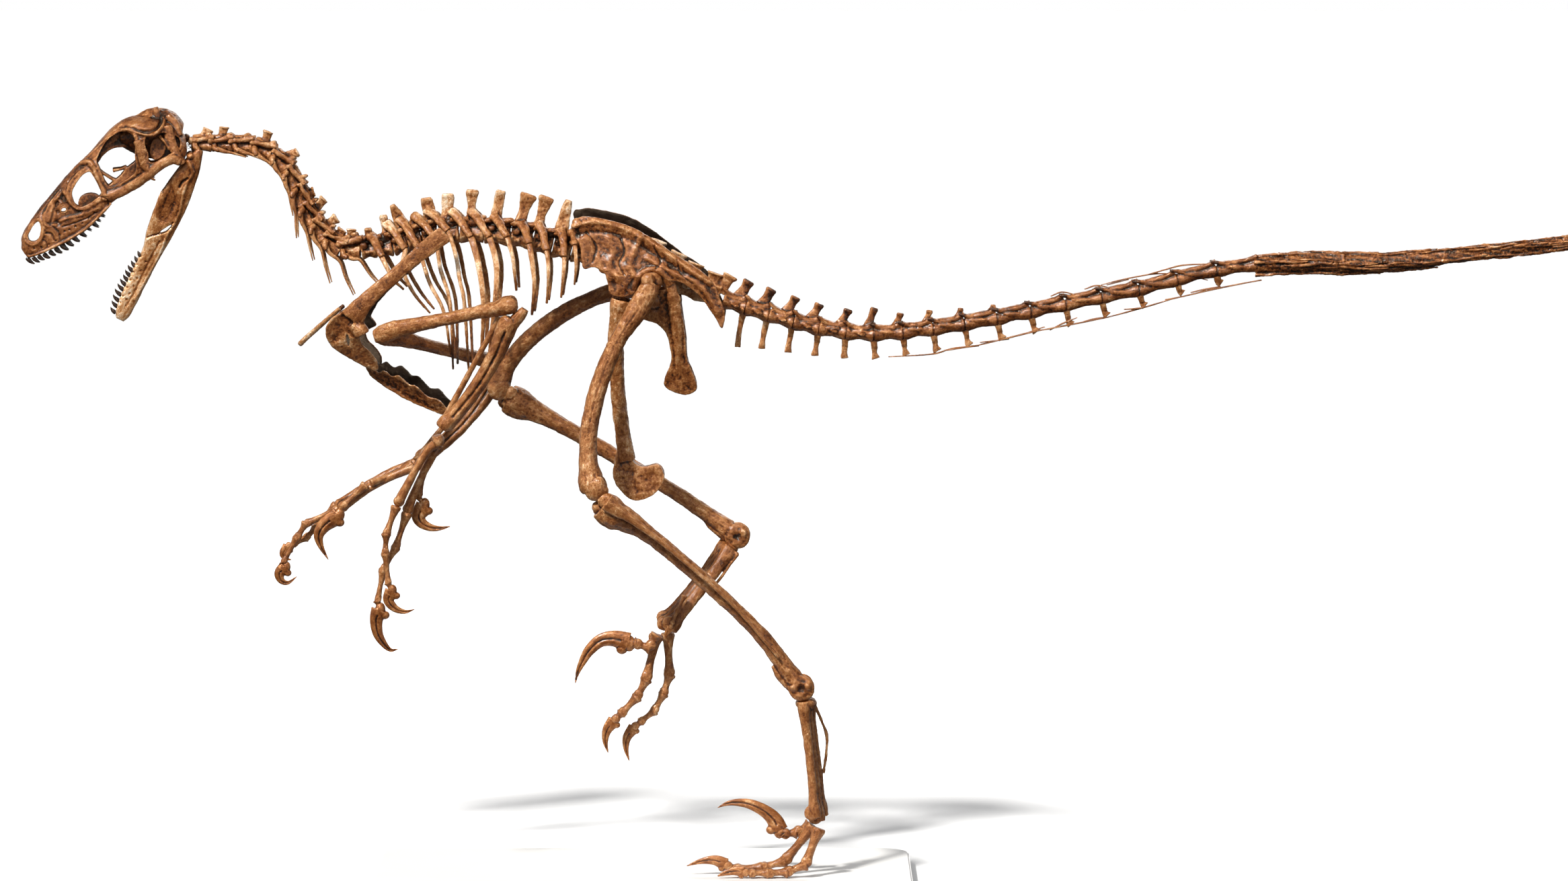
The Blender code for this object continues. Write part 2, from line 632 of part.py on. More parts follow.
def phalanx(mesh, start, end, size):
    """Finger or toe bone with a knob at each end."""
    profile = ((0.0, 0, size, size), (0.18, 0, size * 0.95, size * 0.9),
               (0.5, 0, size * 0.66, size * 0.62), (0.82, 0, size * 0.8, size * 0.78),
               (1.0, 0, size * 0.9, size * 0.95))
    loft(mesh, carry_shape(start, end, profile), steps=2, sides=7)


def digit(mesh, joints, sizes):
    for start, end, size in zip(joints, joints[1:], sizes):
        phalanx(mesh, start, end, size)


def claw(mesh, line, y, heights):
    """Curved claw: (x, z) line from base to tip with half heights."""
    rows = []
    for (x, z), height in zip(line, heights):
        rows.append((x, y, z, max(height * 0.52, 0.3), height))
    loft(mesh, rows, steps=3, sides=8)


# Hands: palm bones, then three digits of joints with their claw's line.
HANDS = {
    "left": {
        "palm": (((-122, -44, 281), (-121, -43.5, 275)),
                 ((-121.5, -45, 277), (-128.5, -44.5, 271), (-136.5, -44, 257.5), (-145.3, -43, 241)),
                 ((-121.5, -39, 275), (-126.5, -38.5, 266), (-134.6, -38, 250), (-140.2, -38, 236))),
        "thumb": (((-130, -33.5, 262), (-134.5, -32.5, 243)),
                  ((-130.8, 237.5), (-134, 231.5), (-132.5, 227), (-127, 224), (-121, 223.6),
                   (-115.1, 224.8)),
                  (5.0, 4.4, 3.2, 2.2, 1.3, 0.3), -32.5),
        "second": (((-141, -38, 233), (-147.8, -38, 212.5), (-155.5, -38, 199), (-159, -38, 179.5)),
                   ((-157.6, 174.5), (-159.8, 168.5), (-159, 160.5), (-155.6, 154.2), (-151.3, 150.2),
                    (-146.8, 150.8)),
                   (5.2, 3.8, 3.0, 2.1, 1.2, 0.3), -38),
        "third": (((-147.2, -44, 237.5), (-153, -45, 221), (-153.6, -45, 209.5), (-151.8, -45, 191.5)),
                  ((-149.6, 186.8), (-151.8, 181.5), (-148.3, 176.6), (-142.2, 174.3), (-136.1, 175.8)),
                  (4.4, 3.2, 2.3, 1.3, 0.3), -45),
    },
    "right": {
        "palm": (((-143, 49, 255.5), (-150, 48.5, 250.5)),
                 ((-145, 51, 254), (-157, 50, 250), (-172, 48, 242), (-188.5, 46, 230.5)),
                 ((-146, 45, 251.5), (-157, 44, 247.5), (-172, 43, 239), (-186, 42, 229.5))),
        "thumb": (((-172, 37, 243), (-186, 36, 230)),
                  ((-188.5, 224.5), (-197, 218.5), (-200.8, 212), (-199.4, 205), (-194.9, 196.8)),
                  (5.4, 4.2, 3.0, 1.7, 0.3), 36),
        "second": (((-189.5, 42, 227.5), (-209.5, 42, 218.5), (-214.8, 42, 210), (-223.5, 42, 194.5)),
                   ((-222, 191.5), (-225.8, 187.6), (-224.6, 183.2), (-220.5, 182), (-215, 185.9)),
                   (4.4, 3.2, 2.1, 1.2, 0.3), 42),
        "third": (((-191, 48, 229.5), (-204.5, 49, 214.5), (-210, 49, 209), (-218, 49, 205)),
                  ((-221, 203.6), (-224, 199.6), (-222.8, 196.4), (-219, 195.4)), (3.4, 2.4, 1.4, 0.3), 49),
    },
}


def build_arm(label):
    arm = ARMS[label]
    out = arm["out"]
    mesh = bmesh.new()
    loft(mesh, carry_shape(arm["shoulder"], arm["elbow"], HUMERUS), steps=2, sides=8)
    bone_piece(f"humerus_{label}", mesh, 110)
    mesh = bmesh.new()
    loft(mesh, carry_shape(arm["forearm"], arm["wrist"], ULNA), steps=2, sides=8)
    bone_piece(f"ulna_{label}", mesh, 110)
    lift = Vector((-7.0, -out * 7.0, 0.5))
    start = Vector(arm["forearm"]) + lift
    end = Vector(arm["wrist"]) + Vector((-1.5, -out * 8.0, 0.5))
    mesh = bmesh.new()
    loft(mesh, carry_shape(start, end, RADIUS), steps=2, sides=6)
    bone_piece(f"radius_{label}", mesh, 56)
    hand = HANDS[label]
    mesh = bmesh.new()
    wrist, palm_root = hand["palm"][0]
    middle = Vector(wrist).lerp(Vector(palm_root), 0.5)
    wrist_bones = [(*wrist, 6.4, 3.6), (*middle, 6.6, 4.2), (*palm_root, 6.2, 3.2)]
    loft(mesh, wrist_bones, steps=2, sides=8)
    for line in hand["palm"][1:]:
        sizes = (2.4, 2.2, 1.9, 2.6)
        loft(mesh, [(*spot, size, size) for spot, size in zip(line, sizes)], steps=2, sides=6)
    thumb_root = hand["thumb"][0][0]
    thumb_base = Vector(palm_root).lerp(Vector(thumb_root), 0.85)
    loft(mesh, [(*palm_root, 2.4, 2.4), (*thumb_base, 2.2, 2.2)], steps=1, sides=6)
    bone_piece(f"palm_{label}", mesh, 150)
    for name in ("thumb", "second", "third"):
        joints, line, heights, y = hand[name]
        mesh = bmesh.new()
        start = Vector(joints[0]).lerp(Vector(joints[1]), 0.12)
        digit(mesh, (start, *joints[1:]), (2.3, 2.2, 2.1))
        phalanx(mesh, joints[-1], (line[0][0], y, line[0][1]), 2.2)
        claw(mesh, line, y, heights)
        label_name = "thumb" if name == "thumb" else f"{name}_finger"
        bone_piece(f"{label_name}_{label}", mesh, 96, grain=0.45)


# ---- Pelvis ----

ILIUM_OUTLINE = ((-41, 408), (-36, 411), (-28, 410.5), (-16, 408.2), (-4, 404), (8, 397), (17, 391),
                 (26, 385), (36, 379), (43.5, 371.5), (48, 361), (50.8, 352), (49, 344), (45.3, 349.5),
                 (39.5, 358), (34, 364.5), (25.5, 371), (17, 373), (11, 378), (4, 378), (-1, 372.5),
                 (-4, 365), (-11, 362.5), (-18.5, 364.5), (-20, 371), (-22, 377), (-28, 380.5),
                 (-34.5, 379.5), (-36, 386), (-37, 394), (-41, 400))


def build_ilium(name, side, lift):
    mesh = bmesh.new()
    outline = [(x, z + lift * min(1, max(0, (z - 375) / 25))) for x, z in ILIUM_OUTLINE]
    slab(mesh, outline, 3.0, lambda x, z: side * (12.5 + 5.5 * min(1, max(0, (405 - z) / 30))))
    rim = ((-5, side * 18, 368, 2.6, 2.4), (-1.5, side * 18.5, 376, 2.8, 2.6),
           (6, side * 18.5, 381, 3.0, 2.6), (13, side * 18, 378, 2.8, 2.6),
           (18, side * 17.5, 373.5, 2.2, 2.4))
    loft(mesh, rim, steps=2, sides=6)
    peduncle = ((-12, side * 17, 375, 3.2, 7), (-12, side * 16.5, 368, 3.4, 7),
                (-12, side * 16, 363.5, 3.4, 7))
    loft(mesh, peduncle, steps=1, sides=8)
    bone_piece(name, mesh, 200)


def build_sacrum():
    column = Column(SACRUM_LINE)
    mesh = bmesh.new()
    count = 6
    pace = column.length / count
    for step in range(count):
        frame = column.frame((step + 0.5) * pace)
        length = pace + (0.8 if step < count - 1 else -JOINT_GAP)
        radius = 5.6 - 0.16 * step
        vertebra(mesh, frame, length, radius, 10.5 - 1.3 * step, 4.2, 9.0, wing_back=0)
    bone_piece("sacrum", mesh, 300, grain=0.5)


def build_pubis(name, side):
    mesh = bmesh.new()
    rows = ((-11.5, side * 15.5, 360.5, 3.4, 6.6), (-13.5, side * 14.5, 352, 3.2, 5.8),
            (-15.8, side * 12.5, 337, 3.0, 4.6), (-15.3, side * 9.5, 318, 2.8, 4.2),
            (-14.2, side * 6.6, 298, 2.6, 4.4), (-11.5, side * 4.4, 276, 2.5, 4.6),
            (-9.5, side * 3.6, 262, 2.4, 5.6))
    loft(mesh, rows, steps=2, sides=8)
    boot = ((-8.9, 268), (-4.5, 260.5), (2, 258.5), (10, 259.5), (13.6, 251.5), (8.5, 242.5),
            (-1.5, 237.6), (-10, 240.5), (-17.6, 251), (-16.5, 262), (-14, 270))
    slab(mesh, boot, 4.4, lambda x, z: side * 2.9)
    bone_piece(name, mesh, 150)


def build_ischium(name, side):
    mesh = bmesh.new()
    outline = ((7, 366), (14, 367), (23, 364), (24.3, 355), (26, 345), (27, 335), (27.6, 325),
               (31.6, 314.5), (33.4, 306.5), (28.5, 302.3), (20.5, 303.6), (14, 307.5), (14, 313),
               (18, 323), (17.3, 331.5), (15, 340), (9.5, 346), (1.2, 348.8), (2, 355), (6, 360))
    slab(mesh, outline, 3.0, lambda x, z: side * (15.5 - 0.17 * (366 - z)))
    bone_piece(name, mesh, 130)


# ---- Legs ----

FEMUR = ((0.0, 0, 3.8, 5.0), (0.05, -1.2, 4.4, 6.4), (0.14, -4.0, 4.6, 6.8), (0.30, -10.4, 4.4, 5.0),
         (0.445, -13.2, 4.6, 5.4), (0.58, -13.7, 4.8, 5.6), (0.73, -12.0, 4.8, 5.5),
         (0.87, -7.2, 5.6, 5.8), (0.955, -2.0, 8.2, 8.0), (1.0, 0.4, 8.2, 6.0))
TIBIA = ((0.0, -1.6, 7.2, 9.4), (0.04, -0.8, 7.6, 9.8), (0.12, 2.6, 5.8, 7.0), (0.24, 5.2, 4.6, 5.0),
         (0.45, 7.0, 4.4, 4.9), (0.63, 7.3, 4.3, 4.6), (0.77, 6.3, 4.3, 4.8), (0.89, 2.8, 5.4, 5.4),
         (0.96, 0.6, 6.6, 6.6))
ANKLE_ROLLER = (8.2, 7.4, 8.0)
FIBULA = ((0.02, 0.0, 1.7, 4.6), (0.10, 2.6, 1.5, 2.6), (0.3, 5.0, 1.3, 1.5), (0.6, 7.0, 1.0, 1.2),
          (0.86, 3.4, 0.9, 1.1))
METATARSUS = ((0.0, 0, 6.6, 5.4), (0.08, 0.2, 6.6, 4.2), (0.3, 0.8, 6.2, 4.0), (0.55, 2.2, 6.0, 4.2),
              (0.8, 1.6, 6.4, 4.0), (0.92, 2.0, 7.8, 5.4), (1.0, 2.4, 7.6, 5.2))

# Feet: each toe's joints, the claw's (x, z) line, its half heights and its y.
FEET = {
    "left": {
        "splint": ((104.8, -11, 114), (109.2, -9.5, 103.6), (112.6, -9, 94), (112.2, -9.5, 82),
                   (110.6, -10.5, 71)),
        "first": (((105.5, -7, 66), (105.5, -6.5, 58), (105, -6, 51)),
                  ((104.5, 48.5), (104, 45.4), (102, 43)), (2.0, 1.5, 0.3), -6),
        "second": (((101.5, -7.5, 38), (93.5, -7.5, 33.6), (85.5, -7.5, 33)),
                   ((83.2, 35.2), (80.6, 41.6), (74.5, 47.2), (66, 51.2), (58, 52.4), (51.5, 51.6),
                    (45.8, 49.1)),
                   (5.6, 4.6, 3.7, 3.0, 2.2, 1.3, 0.3), -7.5),
        "third": (((104, -16.5, 39), (87, -16.5, 17.6), (72.5, -16.8, 13.4), (56.5, -17, 13.2)),
                  ((51, 15.4), (44.5, 18.2), (36, 17.6), (27, 14.7)), (4.0, 3.0, 1.7, 0.3), -17),
        "fourth": (((107.5, -25, 38.5), (99.5, -27, 17.0), (88, -28, 12.8), (76.5, -29, 12.3),
                    (66, -29.5, 12.4)),
                   ((62, 13.2), (57, 13.8), (51.5, 12.6), (46, 10.6)), (3.4, 2.6, 1.7, 0.4), -29.5),
    },
    "right": {
        "splint": ((58, 41, 200), (53.6, 41, 194), (48, 40.5, 186), (42.5, 40, 179)),
        "first": (((25, 27, 175), (20.5, 25, 166), (17.5, 24, 158.5)),
                  ((16.5, 156), (14.2, 152.6), (13.4, 149)), (2.0, 1.5, 0.3), 24),
        "second": (((8, 25.5, 151), (3.4, 25.5, 143.5), (-5.5, 25.5, 146.5)),
                   ((-9.8, 146.5), (-18, 149.2), (-26.6, 147.9), (-33.8, 141.5), (-38.2, 134),
                    (-40.8, 128), (-42.3, 121.4)),
                   (6.4, 4.8, 3.9, 3.2, 2.2, 1.3, 0.3), 25.5),
        "third": (((7.5, 34, 150), (1.2, 34.5, 122.3), (-4.5, 34.5, 111.5), (-14.5, 35, 101)),
                  ((-18.6, 97), (-23, 91), (-24.2, 84), (-22.5, 76.7)), (4.0, 2.9, 1.7, 0.3), 35),
        "fourth": (((14.5, 42, 150), (15.5, 43, 124), (11.5, 43.5, 112), (5.8, 44, 101.5),
                    (-2.8, 44, 94.5)),
                   ((-6.6, 91.5), (-11, 85), (-11.6, 78), (-9.7, 70.3)), (3.6, 2.7, 1.6, 0.3), 44),
    },
}


def build_leg(label):
    leg = LEGS[label]
    out = leg["out"]
    hip = Vector(leg["hip"])
    mesh = bmesh.new()
    shaft_top = hip + Vector((0, out * 4.0, 0))
    loft(mesh, carry_shape(shaft_top, leg["knee"], FEMUR), steps=2, sides=8)
    bone_piece(f"femur_{label}", mesh, 160)
    mesh = bmesh.new()
    loft(mesh, carry_shape(leg["shin"], leg["ankle"], TIBIA, leg["bow"]), steps=2, sides=8)
    ball(mesh, leg["ankle"], ANKLE_ROLLER)
    bone_piece(f"tibia_{label}", mesh, 170)
    aside = Vector((0, out * 9.6, 0))
    mesh = bmesh.new()
    end = Vector(leg["ankle"]) + Vector((0, out * 7.4, 0))
    loft(mesh, carry_shape(Vector(leg["shin"]) + aside, end, FIBULA, leg["bow"]), steps=2, sides=6)
    bone_piece(f"fibula_{label}", mesh, 70, grain=0.45)
    foot = FEET[label]
    mesh = bmesh.new()
    loft(mesh, carry_shape(leg["foot"], leg["ball"], METATARSUS), steps=2, sides=8)
    loft(mesh, [(*spot, 0.9, 1.1) for spot in foot["splint"]], steps=2, sides=6)
    anchor = Vector(leg["foot"]).lerp(Vector(leg["ball"]), 0.06)
    loft(mesh, [(*anchor, 2, 2), (*foot["splint"][0], 1.2, 1.2)], steps=1, sides=6)
    bone_piece(f"metatarsus_{label}", mesh, 170)
    sizes = {"first": (1.7, 1.5), "second": (3.6, 3.4), "third": (3.8, 3.3, 3.1),
             "fourth": (3.7, 3.2, 2.9, 2.7)}
    for name, radii in sizes.items():
        joints, line, heights, y = foot[name]
        mesh = bmesh.new()
        start = Vector(joints[0]).lerp(Vector(joints[1]), 0.1)
        digit(mesh, (start, *joints[1:]), radii)
        phalanx(mesh, joints[-1], (line[0][0], y, line[0][1]), radii[-1] * 0.95)
        claw(mesh, line, y, heights)
        bone_piece(f"{name}_toe_{label}", mesh, 116 if name != "first" else 50, grain=0.45)


# ---- Tail ----

def tail_joint(count):
    """x of the joint in front of a tail bone: the bones grow steadily longer backwards."""
    return 49.3 + 13.6 * count + 0.345 * count * (count - 1)


TAIL_GROUPS = (("tail_root", 0, 7), ("tail_front", 7, 13), ("tail_rear", 13, 20),
               ("tail_tip", 20, TAIL_BONES))


def build_tail():
    column = Column(TAIL_LINE)
    for name, first, last in TAIL_GROUPS:
        mesh = bmesh.new()
        for count in range(first, last):
            start = float(np.interp(tail_joint(count), column.points[:, 0], column.run))
            end = float(np.interp(tail_joint(count + 1), column.points[:, 0], column.run))
            closing = count == last - 1
            gap = JOINT_GAP if closing else -0.6
            frame = column.frame((start + end - max(gap, 0)) / 2)
            share = count / (TAIL_BONES - 1)
            radius = 4.6 - 3.4 * share
            length = end - start - gap
            half = length / 2
            spool = ((-half, 0, 0, radius, radius), (-half * 0.5, 0, 0.2, radius * 0.8, radius * 0.8),
                     (half * 0.5, 0, 0.2, radius * 0.8, radius * 0.8), (half, 0, 0, radius, radius))
            loft(mesh, rows_in(frame, spool), steps=1, sides=7)
            if count < 10:
                arch = ((-half * 0.7, 0, radius * 1.1, radius * 0.45, 1.8),
                        (half * 0.8, 0, radius * 1.25, radius * 0.4, 1.6))
                loft(mesh, rows_in(frame, arch), steps=1, sides=6)
                top = 17.5 - 0.3 * count if count < 6 else 11.5 - 1.0 * (count - 6)
                lean = half * (0.75 if closing else 0.95)
                width = 3.4 - 0.12 * count
                blade = ((half * 0.3, 0, radius, 1.0, width), (lean, 0, top, 1.1, width))
                loft(mesh, rows_in(frame, blade), steps=1, sides=6)
            if count < 6:
                for side in (-1, 1):
                    wing = ((0, side * 2, 1.5, 2.6, 1.1), (1, side * (11 - count), 1.5, 2.0, 0.9))
                    loft(mesh, rows_in(frame, wing), across=(1, 0, 0), steps=1, sides=6)
            if 0 < count < 17:
                drop = 12 + 12 * math.exp((1 - count) / 3) - 1.1 * max(0, count - 12)
                sled = 1.6 + 0.24 * count
                back = 2.2 - 0.5 * min(count, 5)
                chevron = ((-half + 1.4, 0, -radius * 0.6, 1.2, 1.5),
                           (-half + 1.4, 0, -radius - 3, 1.0, 1.4),
                           (-half + back, 0, -drop, 0.9, sled))
                loft(mesh, rows_in(frame, chevron), steps=2, sides=6)
            if count >= 8:
                build_tail_rods(mesh, frame, half, radius, count, closing)
        bone_piece(name, mesh, 330 if name != "tail_tip" else 200, grain=0.5)


def build_tail_rods(mesh, frame, half, radius, count, closing):
    """Bony rods above and below the rear tail bones that stiffen the tail."""
    spread = min(1.0, max(0.0, (count - 8) / 8))
    above = radius * 0.55 + 1.6 * spread * (1 - 0.5 * (count / TAIL_BONES) ** 3)
    below = radius + max(0.0, 7.5 - 0.62 * count) + 0.4
    reach = half - (0.0 if closing else -0.6)
    rod = 0.7 + 0.5 * spread
    for side in (-1, 1):
        top = ((-half, side * 1.0, above, rod, rod), (reach, side * 1.0, above, rod, rod))
        loft(mesh, rows_in(frame, top), steps=1, sides=5)
        if count >= 13:
            low = ((-half, side * 1.0, -below * 0.8, rod, rod), (reach, side * 1.0, -below * 0.8, rod, rod))
            loft(mesh, rows_in(frame, low), steps=1, sides=5)


# ---- Stand: a flat painted steel plate under the standing foot ----

def build_stand():
    mesh = bmesh.new()
    outline = []
    for step in range(32):
        turn = math.tau * (step + 0.5) / 32
        x = math.copysign(BASE_LENGTH / 2 - BASE_CORNER, math.cos(turn)) + BASE_CORNER * math.cos(turn)
        y = math.copysign(BASE_WIDTH / 2 - BASE_CORNER, math.sin(turn)) + BASE_CORNER * math.sin(turn)
        outline.append(mesh.verts.new(Vector((x, y, 0)) * MM))
    face = mesh.faces.new(outline)
    grown = bmesh.ops.extrude_face_region(mesh, geom=[face])
    top = [item for item in grown["geom"] if isinstance(item, bmesh.types.BMVert)]
    bmesh.ops.translate(mesh, verts=top, vec=Vector((0, 0, BASE_THICK * MM)))
    item = temporary(mesh)
    item.name = "stand_base"
    item.data.name = "stand_base"
    item.data.materials.append(finish_material("stand_base", PALE_STEEL, 0.45, 0.0))


def build_skeleton():
    clear_scene()
    build_skull()
    for label, side in (("left", -1), ("right", 1)):
        build_jaw(f"lower_jaw_{label}", side)
        build_rib_cage(f"rib_cage_{label}", side)
        build_shoulder(f"shoulder_blade_{label}", side)
        build_breast_plate(f"breast_plate_{label}", side, 4.0 if side > 0 else 0.0)
        build_arm(label)
        build_ilium(f"ilium_{label}", side, 4.0 if side > 0 else 0.0)
        build_pubis(f"pubis_{label}", side)
        build_ischium(f"ischium_{label}", side)
        build_leg(label)
    build_neck()
    build_wishbone()
    build_sacrum()
    build_tail()
    build_stand()


build_skeleton()
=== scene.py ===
import json
import math

import bmesh
import bpy
import numpy as np
from mathutils import Matrix, Vector

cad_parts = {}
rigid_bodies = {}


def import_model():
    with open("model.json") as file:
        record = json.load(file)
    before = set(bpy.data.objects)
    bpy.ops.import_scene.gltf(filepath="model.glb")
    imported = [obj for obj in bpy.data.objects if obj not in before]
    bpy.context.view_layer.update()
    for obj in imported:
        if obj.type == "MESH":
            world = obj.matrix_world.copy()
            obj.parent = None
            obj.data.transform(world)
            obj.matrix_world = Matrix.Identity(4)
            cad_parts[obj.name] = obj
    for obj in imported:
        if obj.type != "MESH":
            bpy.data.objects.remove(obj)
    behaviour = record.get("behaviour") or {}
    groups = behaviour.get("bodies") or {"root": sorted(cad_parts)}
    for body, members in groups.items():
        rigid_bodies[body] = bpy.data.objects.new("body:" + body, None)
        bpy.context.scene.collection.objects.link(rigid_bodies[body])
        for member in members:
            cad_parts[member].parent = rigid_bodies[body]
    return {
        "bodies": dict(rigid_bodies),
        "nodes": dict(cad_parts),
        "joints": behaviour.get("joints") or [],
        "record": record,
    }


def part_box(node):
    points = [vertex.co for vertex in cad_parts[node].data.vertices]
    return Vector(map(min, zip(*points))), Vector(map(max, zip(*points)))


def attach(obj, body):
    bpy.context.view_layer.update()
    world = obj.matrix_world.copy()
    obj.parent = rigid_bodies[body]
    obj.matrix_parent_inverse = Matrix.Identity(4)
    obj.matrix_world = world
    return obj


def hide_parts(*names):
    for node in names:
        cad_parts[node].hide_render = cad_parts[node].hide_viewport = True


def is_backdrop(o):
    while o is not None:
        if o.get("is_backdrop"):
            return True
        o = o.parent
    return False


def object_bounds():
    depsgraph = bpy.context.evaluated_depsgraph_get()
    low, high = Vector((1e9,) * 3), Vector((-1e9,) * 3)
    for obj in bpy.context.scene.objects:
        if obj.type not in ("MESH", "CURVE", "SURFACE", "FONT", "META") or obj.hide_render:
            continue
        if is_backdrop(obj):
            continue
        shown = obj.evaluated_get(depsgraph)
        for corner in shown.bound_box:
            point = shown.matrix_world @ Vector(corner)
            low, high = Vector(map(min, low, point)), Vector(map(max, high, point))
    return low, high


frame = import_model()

cad_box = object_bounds()

# ---- Base plate ----
# A flat steel plate with round corners and an eased upper edge, sprayed in pale satin paint.
# The standing foot is pinned to it, and its weight keeps the striding animal from tipping.

MM = 0.001
PLATE_CORNER = 18 * MM
PLATE_EDGE = 1.2 * MM
PLATE_PAINT = ((0.0, (0.68, 0.67, 0.65)), (1.0, (0.74, 0.73, 0.71)))


class Nodes:
    """The nodes of one finish, added one at a time and joined as they are added."""

    def __init__(self, tree):
        self.tree = tree

    def feed(self, socket, value):
        """Join another node's output to the socket, or set the socket's own value."""
        if isinstance(value, bpy.types.NodeSocket):
            self.tree.links.new(value, socket)
        else:
            socket.default_value = value

    def add(self, kind, values=None, **feeds):
        node = self.tree.nodes.new("ShaderNode" + kind)
        for key, value in (values or {}).items():
            setattr(node, key, value)
        for key, value in feeds.items():
            self.feed(node.inputs[int(key[1:]) if key[1:].isdigit() else key.replace("_", " ")], value)
        return node

    def noise(self, place, scale, detail, roughness=0.5):
        return self.add("TexNoise", Vector=place, Scale=scale, Detail=detail,
                        Roughness=roughness).outputs["Fac"]

    def tint(self, value, tones):
        """Colour for a value, blended between (value, colour) tones."""
        ramp = self.add("ValToRGB", Fac=value)
        stops = ramp.color_ramp.elements
        while len(stops) < len(tones):
            stops.new(0.5)
        for stop, (spot, colour) in zip(stops, tones):
            stop.position = spot
            stop.color = (*colour, 1.0)
        return ramp.outputs["Color"]

    def spread(self, value, low, high, new_low, new_high):
        """The value, moved from low..high to new_low..new_high and held there."""
        return self.add("MapRange", Value=value, From_Min=low, From_Max=high, To_Min=new_low,
                        To_Max=new_high).outputs["Result"]

    def sum(self, first, second, scale=1.0):
        """first * scale + second."""
        return self.add("Math", {"operation": "MULTIPLY_ADD"}, _0=first, _1=scale, _2=second).outputs[0]

    def bump(self, height, strength, distance):
        return self.add("Bump", Height=height, Strength=strength, Distance=distance).outputs["Normal"]


class Finish(Nodes):
    """A material, with its place coordinates and its shader."""

    def __init__(self, name):
        self.material = bpy.data.materials.new(name)
        self.material.use_nodes = True
        super().__init__(self.material.node_tree)
        self.place = self.add("TexCoord").outputs["Object"]

    def dress(self, **values):
        """Feed the shader's sockets and give back the finished material."""
        for key, value in values.items():
            self.feed(self.tree.nodes["Principled BSDF"].inputs[key.replace("_", " ")], value)
        return self.material


def satin_paint():
    paint = Finish("satin_paint")
    colour = paint.tint(paint.noise(paint.place, 14.0, 4.0), PLATE_PAINT)
    peel = paint.bump(paint.noise(paint.place, 900.0, 2.0), 0.12, 0.0004)
    return paint.dress(Base_Color=colour, Normal=peel, Roughness=0.42)


def loose_object(name, mesh):
    """An object made of the drawn mesh, which is used up."""
    data = bpy.data.meshes.new(name)
    bmesh.ops.recalc_face_normals(mesh, faces=mesh.faces)
    mesh.to_mesh(data)
    mesh.free()
    item = bpy.data.objects.new(name, data)
    bpy.context.scene.collection.objects.link(item)
    return item


def fix_piece(item, material, nodes):
    """Dress a piece and fix it in place of the plain solids that it stands for."""
    item.data.materials.clear()
    item.data.materials.append(material)
    item.data.shade_smooth()
    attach(item, "root")
    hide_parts(*nodes)


def make_base_plate():
    low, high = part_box("stand_base")
    mesh = bmesh.new()
    half_x, half_y = (high.x - low.x) / 2 - PLATE_CORNER, (high.y - low.y) / 2 - PLATE_CORNER
    ring = []
    for step in range(64):
        turn = math.tau * (step + 0.5) / 64
        x = math.copysign(half_x, math.cos(turn)) + PLATE_CORNER * math.cos(turn)
        y = math.copysign(half_y, math.sin(turn)) + PLATE_CORNER * math.sin(turn)
        ring.append(mesh.verts.new((x, y, low.z)))
    grown = bmesh.ops.extrude_face_region(mesh, geom=[mesh.faces.new(ring)])
    top = [item for item in grown["geom"] if isinstance(item, bmesh.types.BMVert)]
    bmesh.ops.translate(mesh, verts=top, vec=(0, 0, high.z - low.z))
    bmesh.ops.recalc_face_normals(mesh, faces=mesh.faces)
    rim = [edge for edge in mesh.edges if all(abs(v.co.z - high.z) < 1e-6 for v in edge.verts)]
    bmesh.ops.bevel(mesh, geom=rim, offset=PLATE_EDGE, segments=4, affect="EDGES")
    plate = loose_object("base_plate", mesh)
    fix_piece(plate, satin_paint(), ["stand_base"])
    plate.data.set_sharp_from_angle(angle=math.radians(40))


make_base_plate()

# ---- Standing foot ----
# Three long toe bones run side by side from the ankle, with the big raised claw of the second toe
# on the inside. Every bone is cast in resin from a mould of the fossil, stained brown and waxed.

RESIN_TONES = ((0.0, (0.006, 0.0011, 0.0002)), (0.18, (0.042, 0.0085, 0.0014)),
               (0.36, (0.165, 0.045, 0.0088)),
               (0.54, (0.278, 0.096, 0.025)), (0.70, (0.440, 0.200, 0.070)), (0.86, (0.650, 0.400, 0.215)),
               (1.0, (0.840, 0.660, 0.480)))


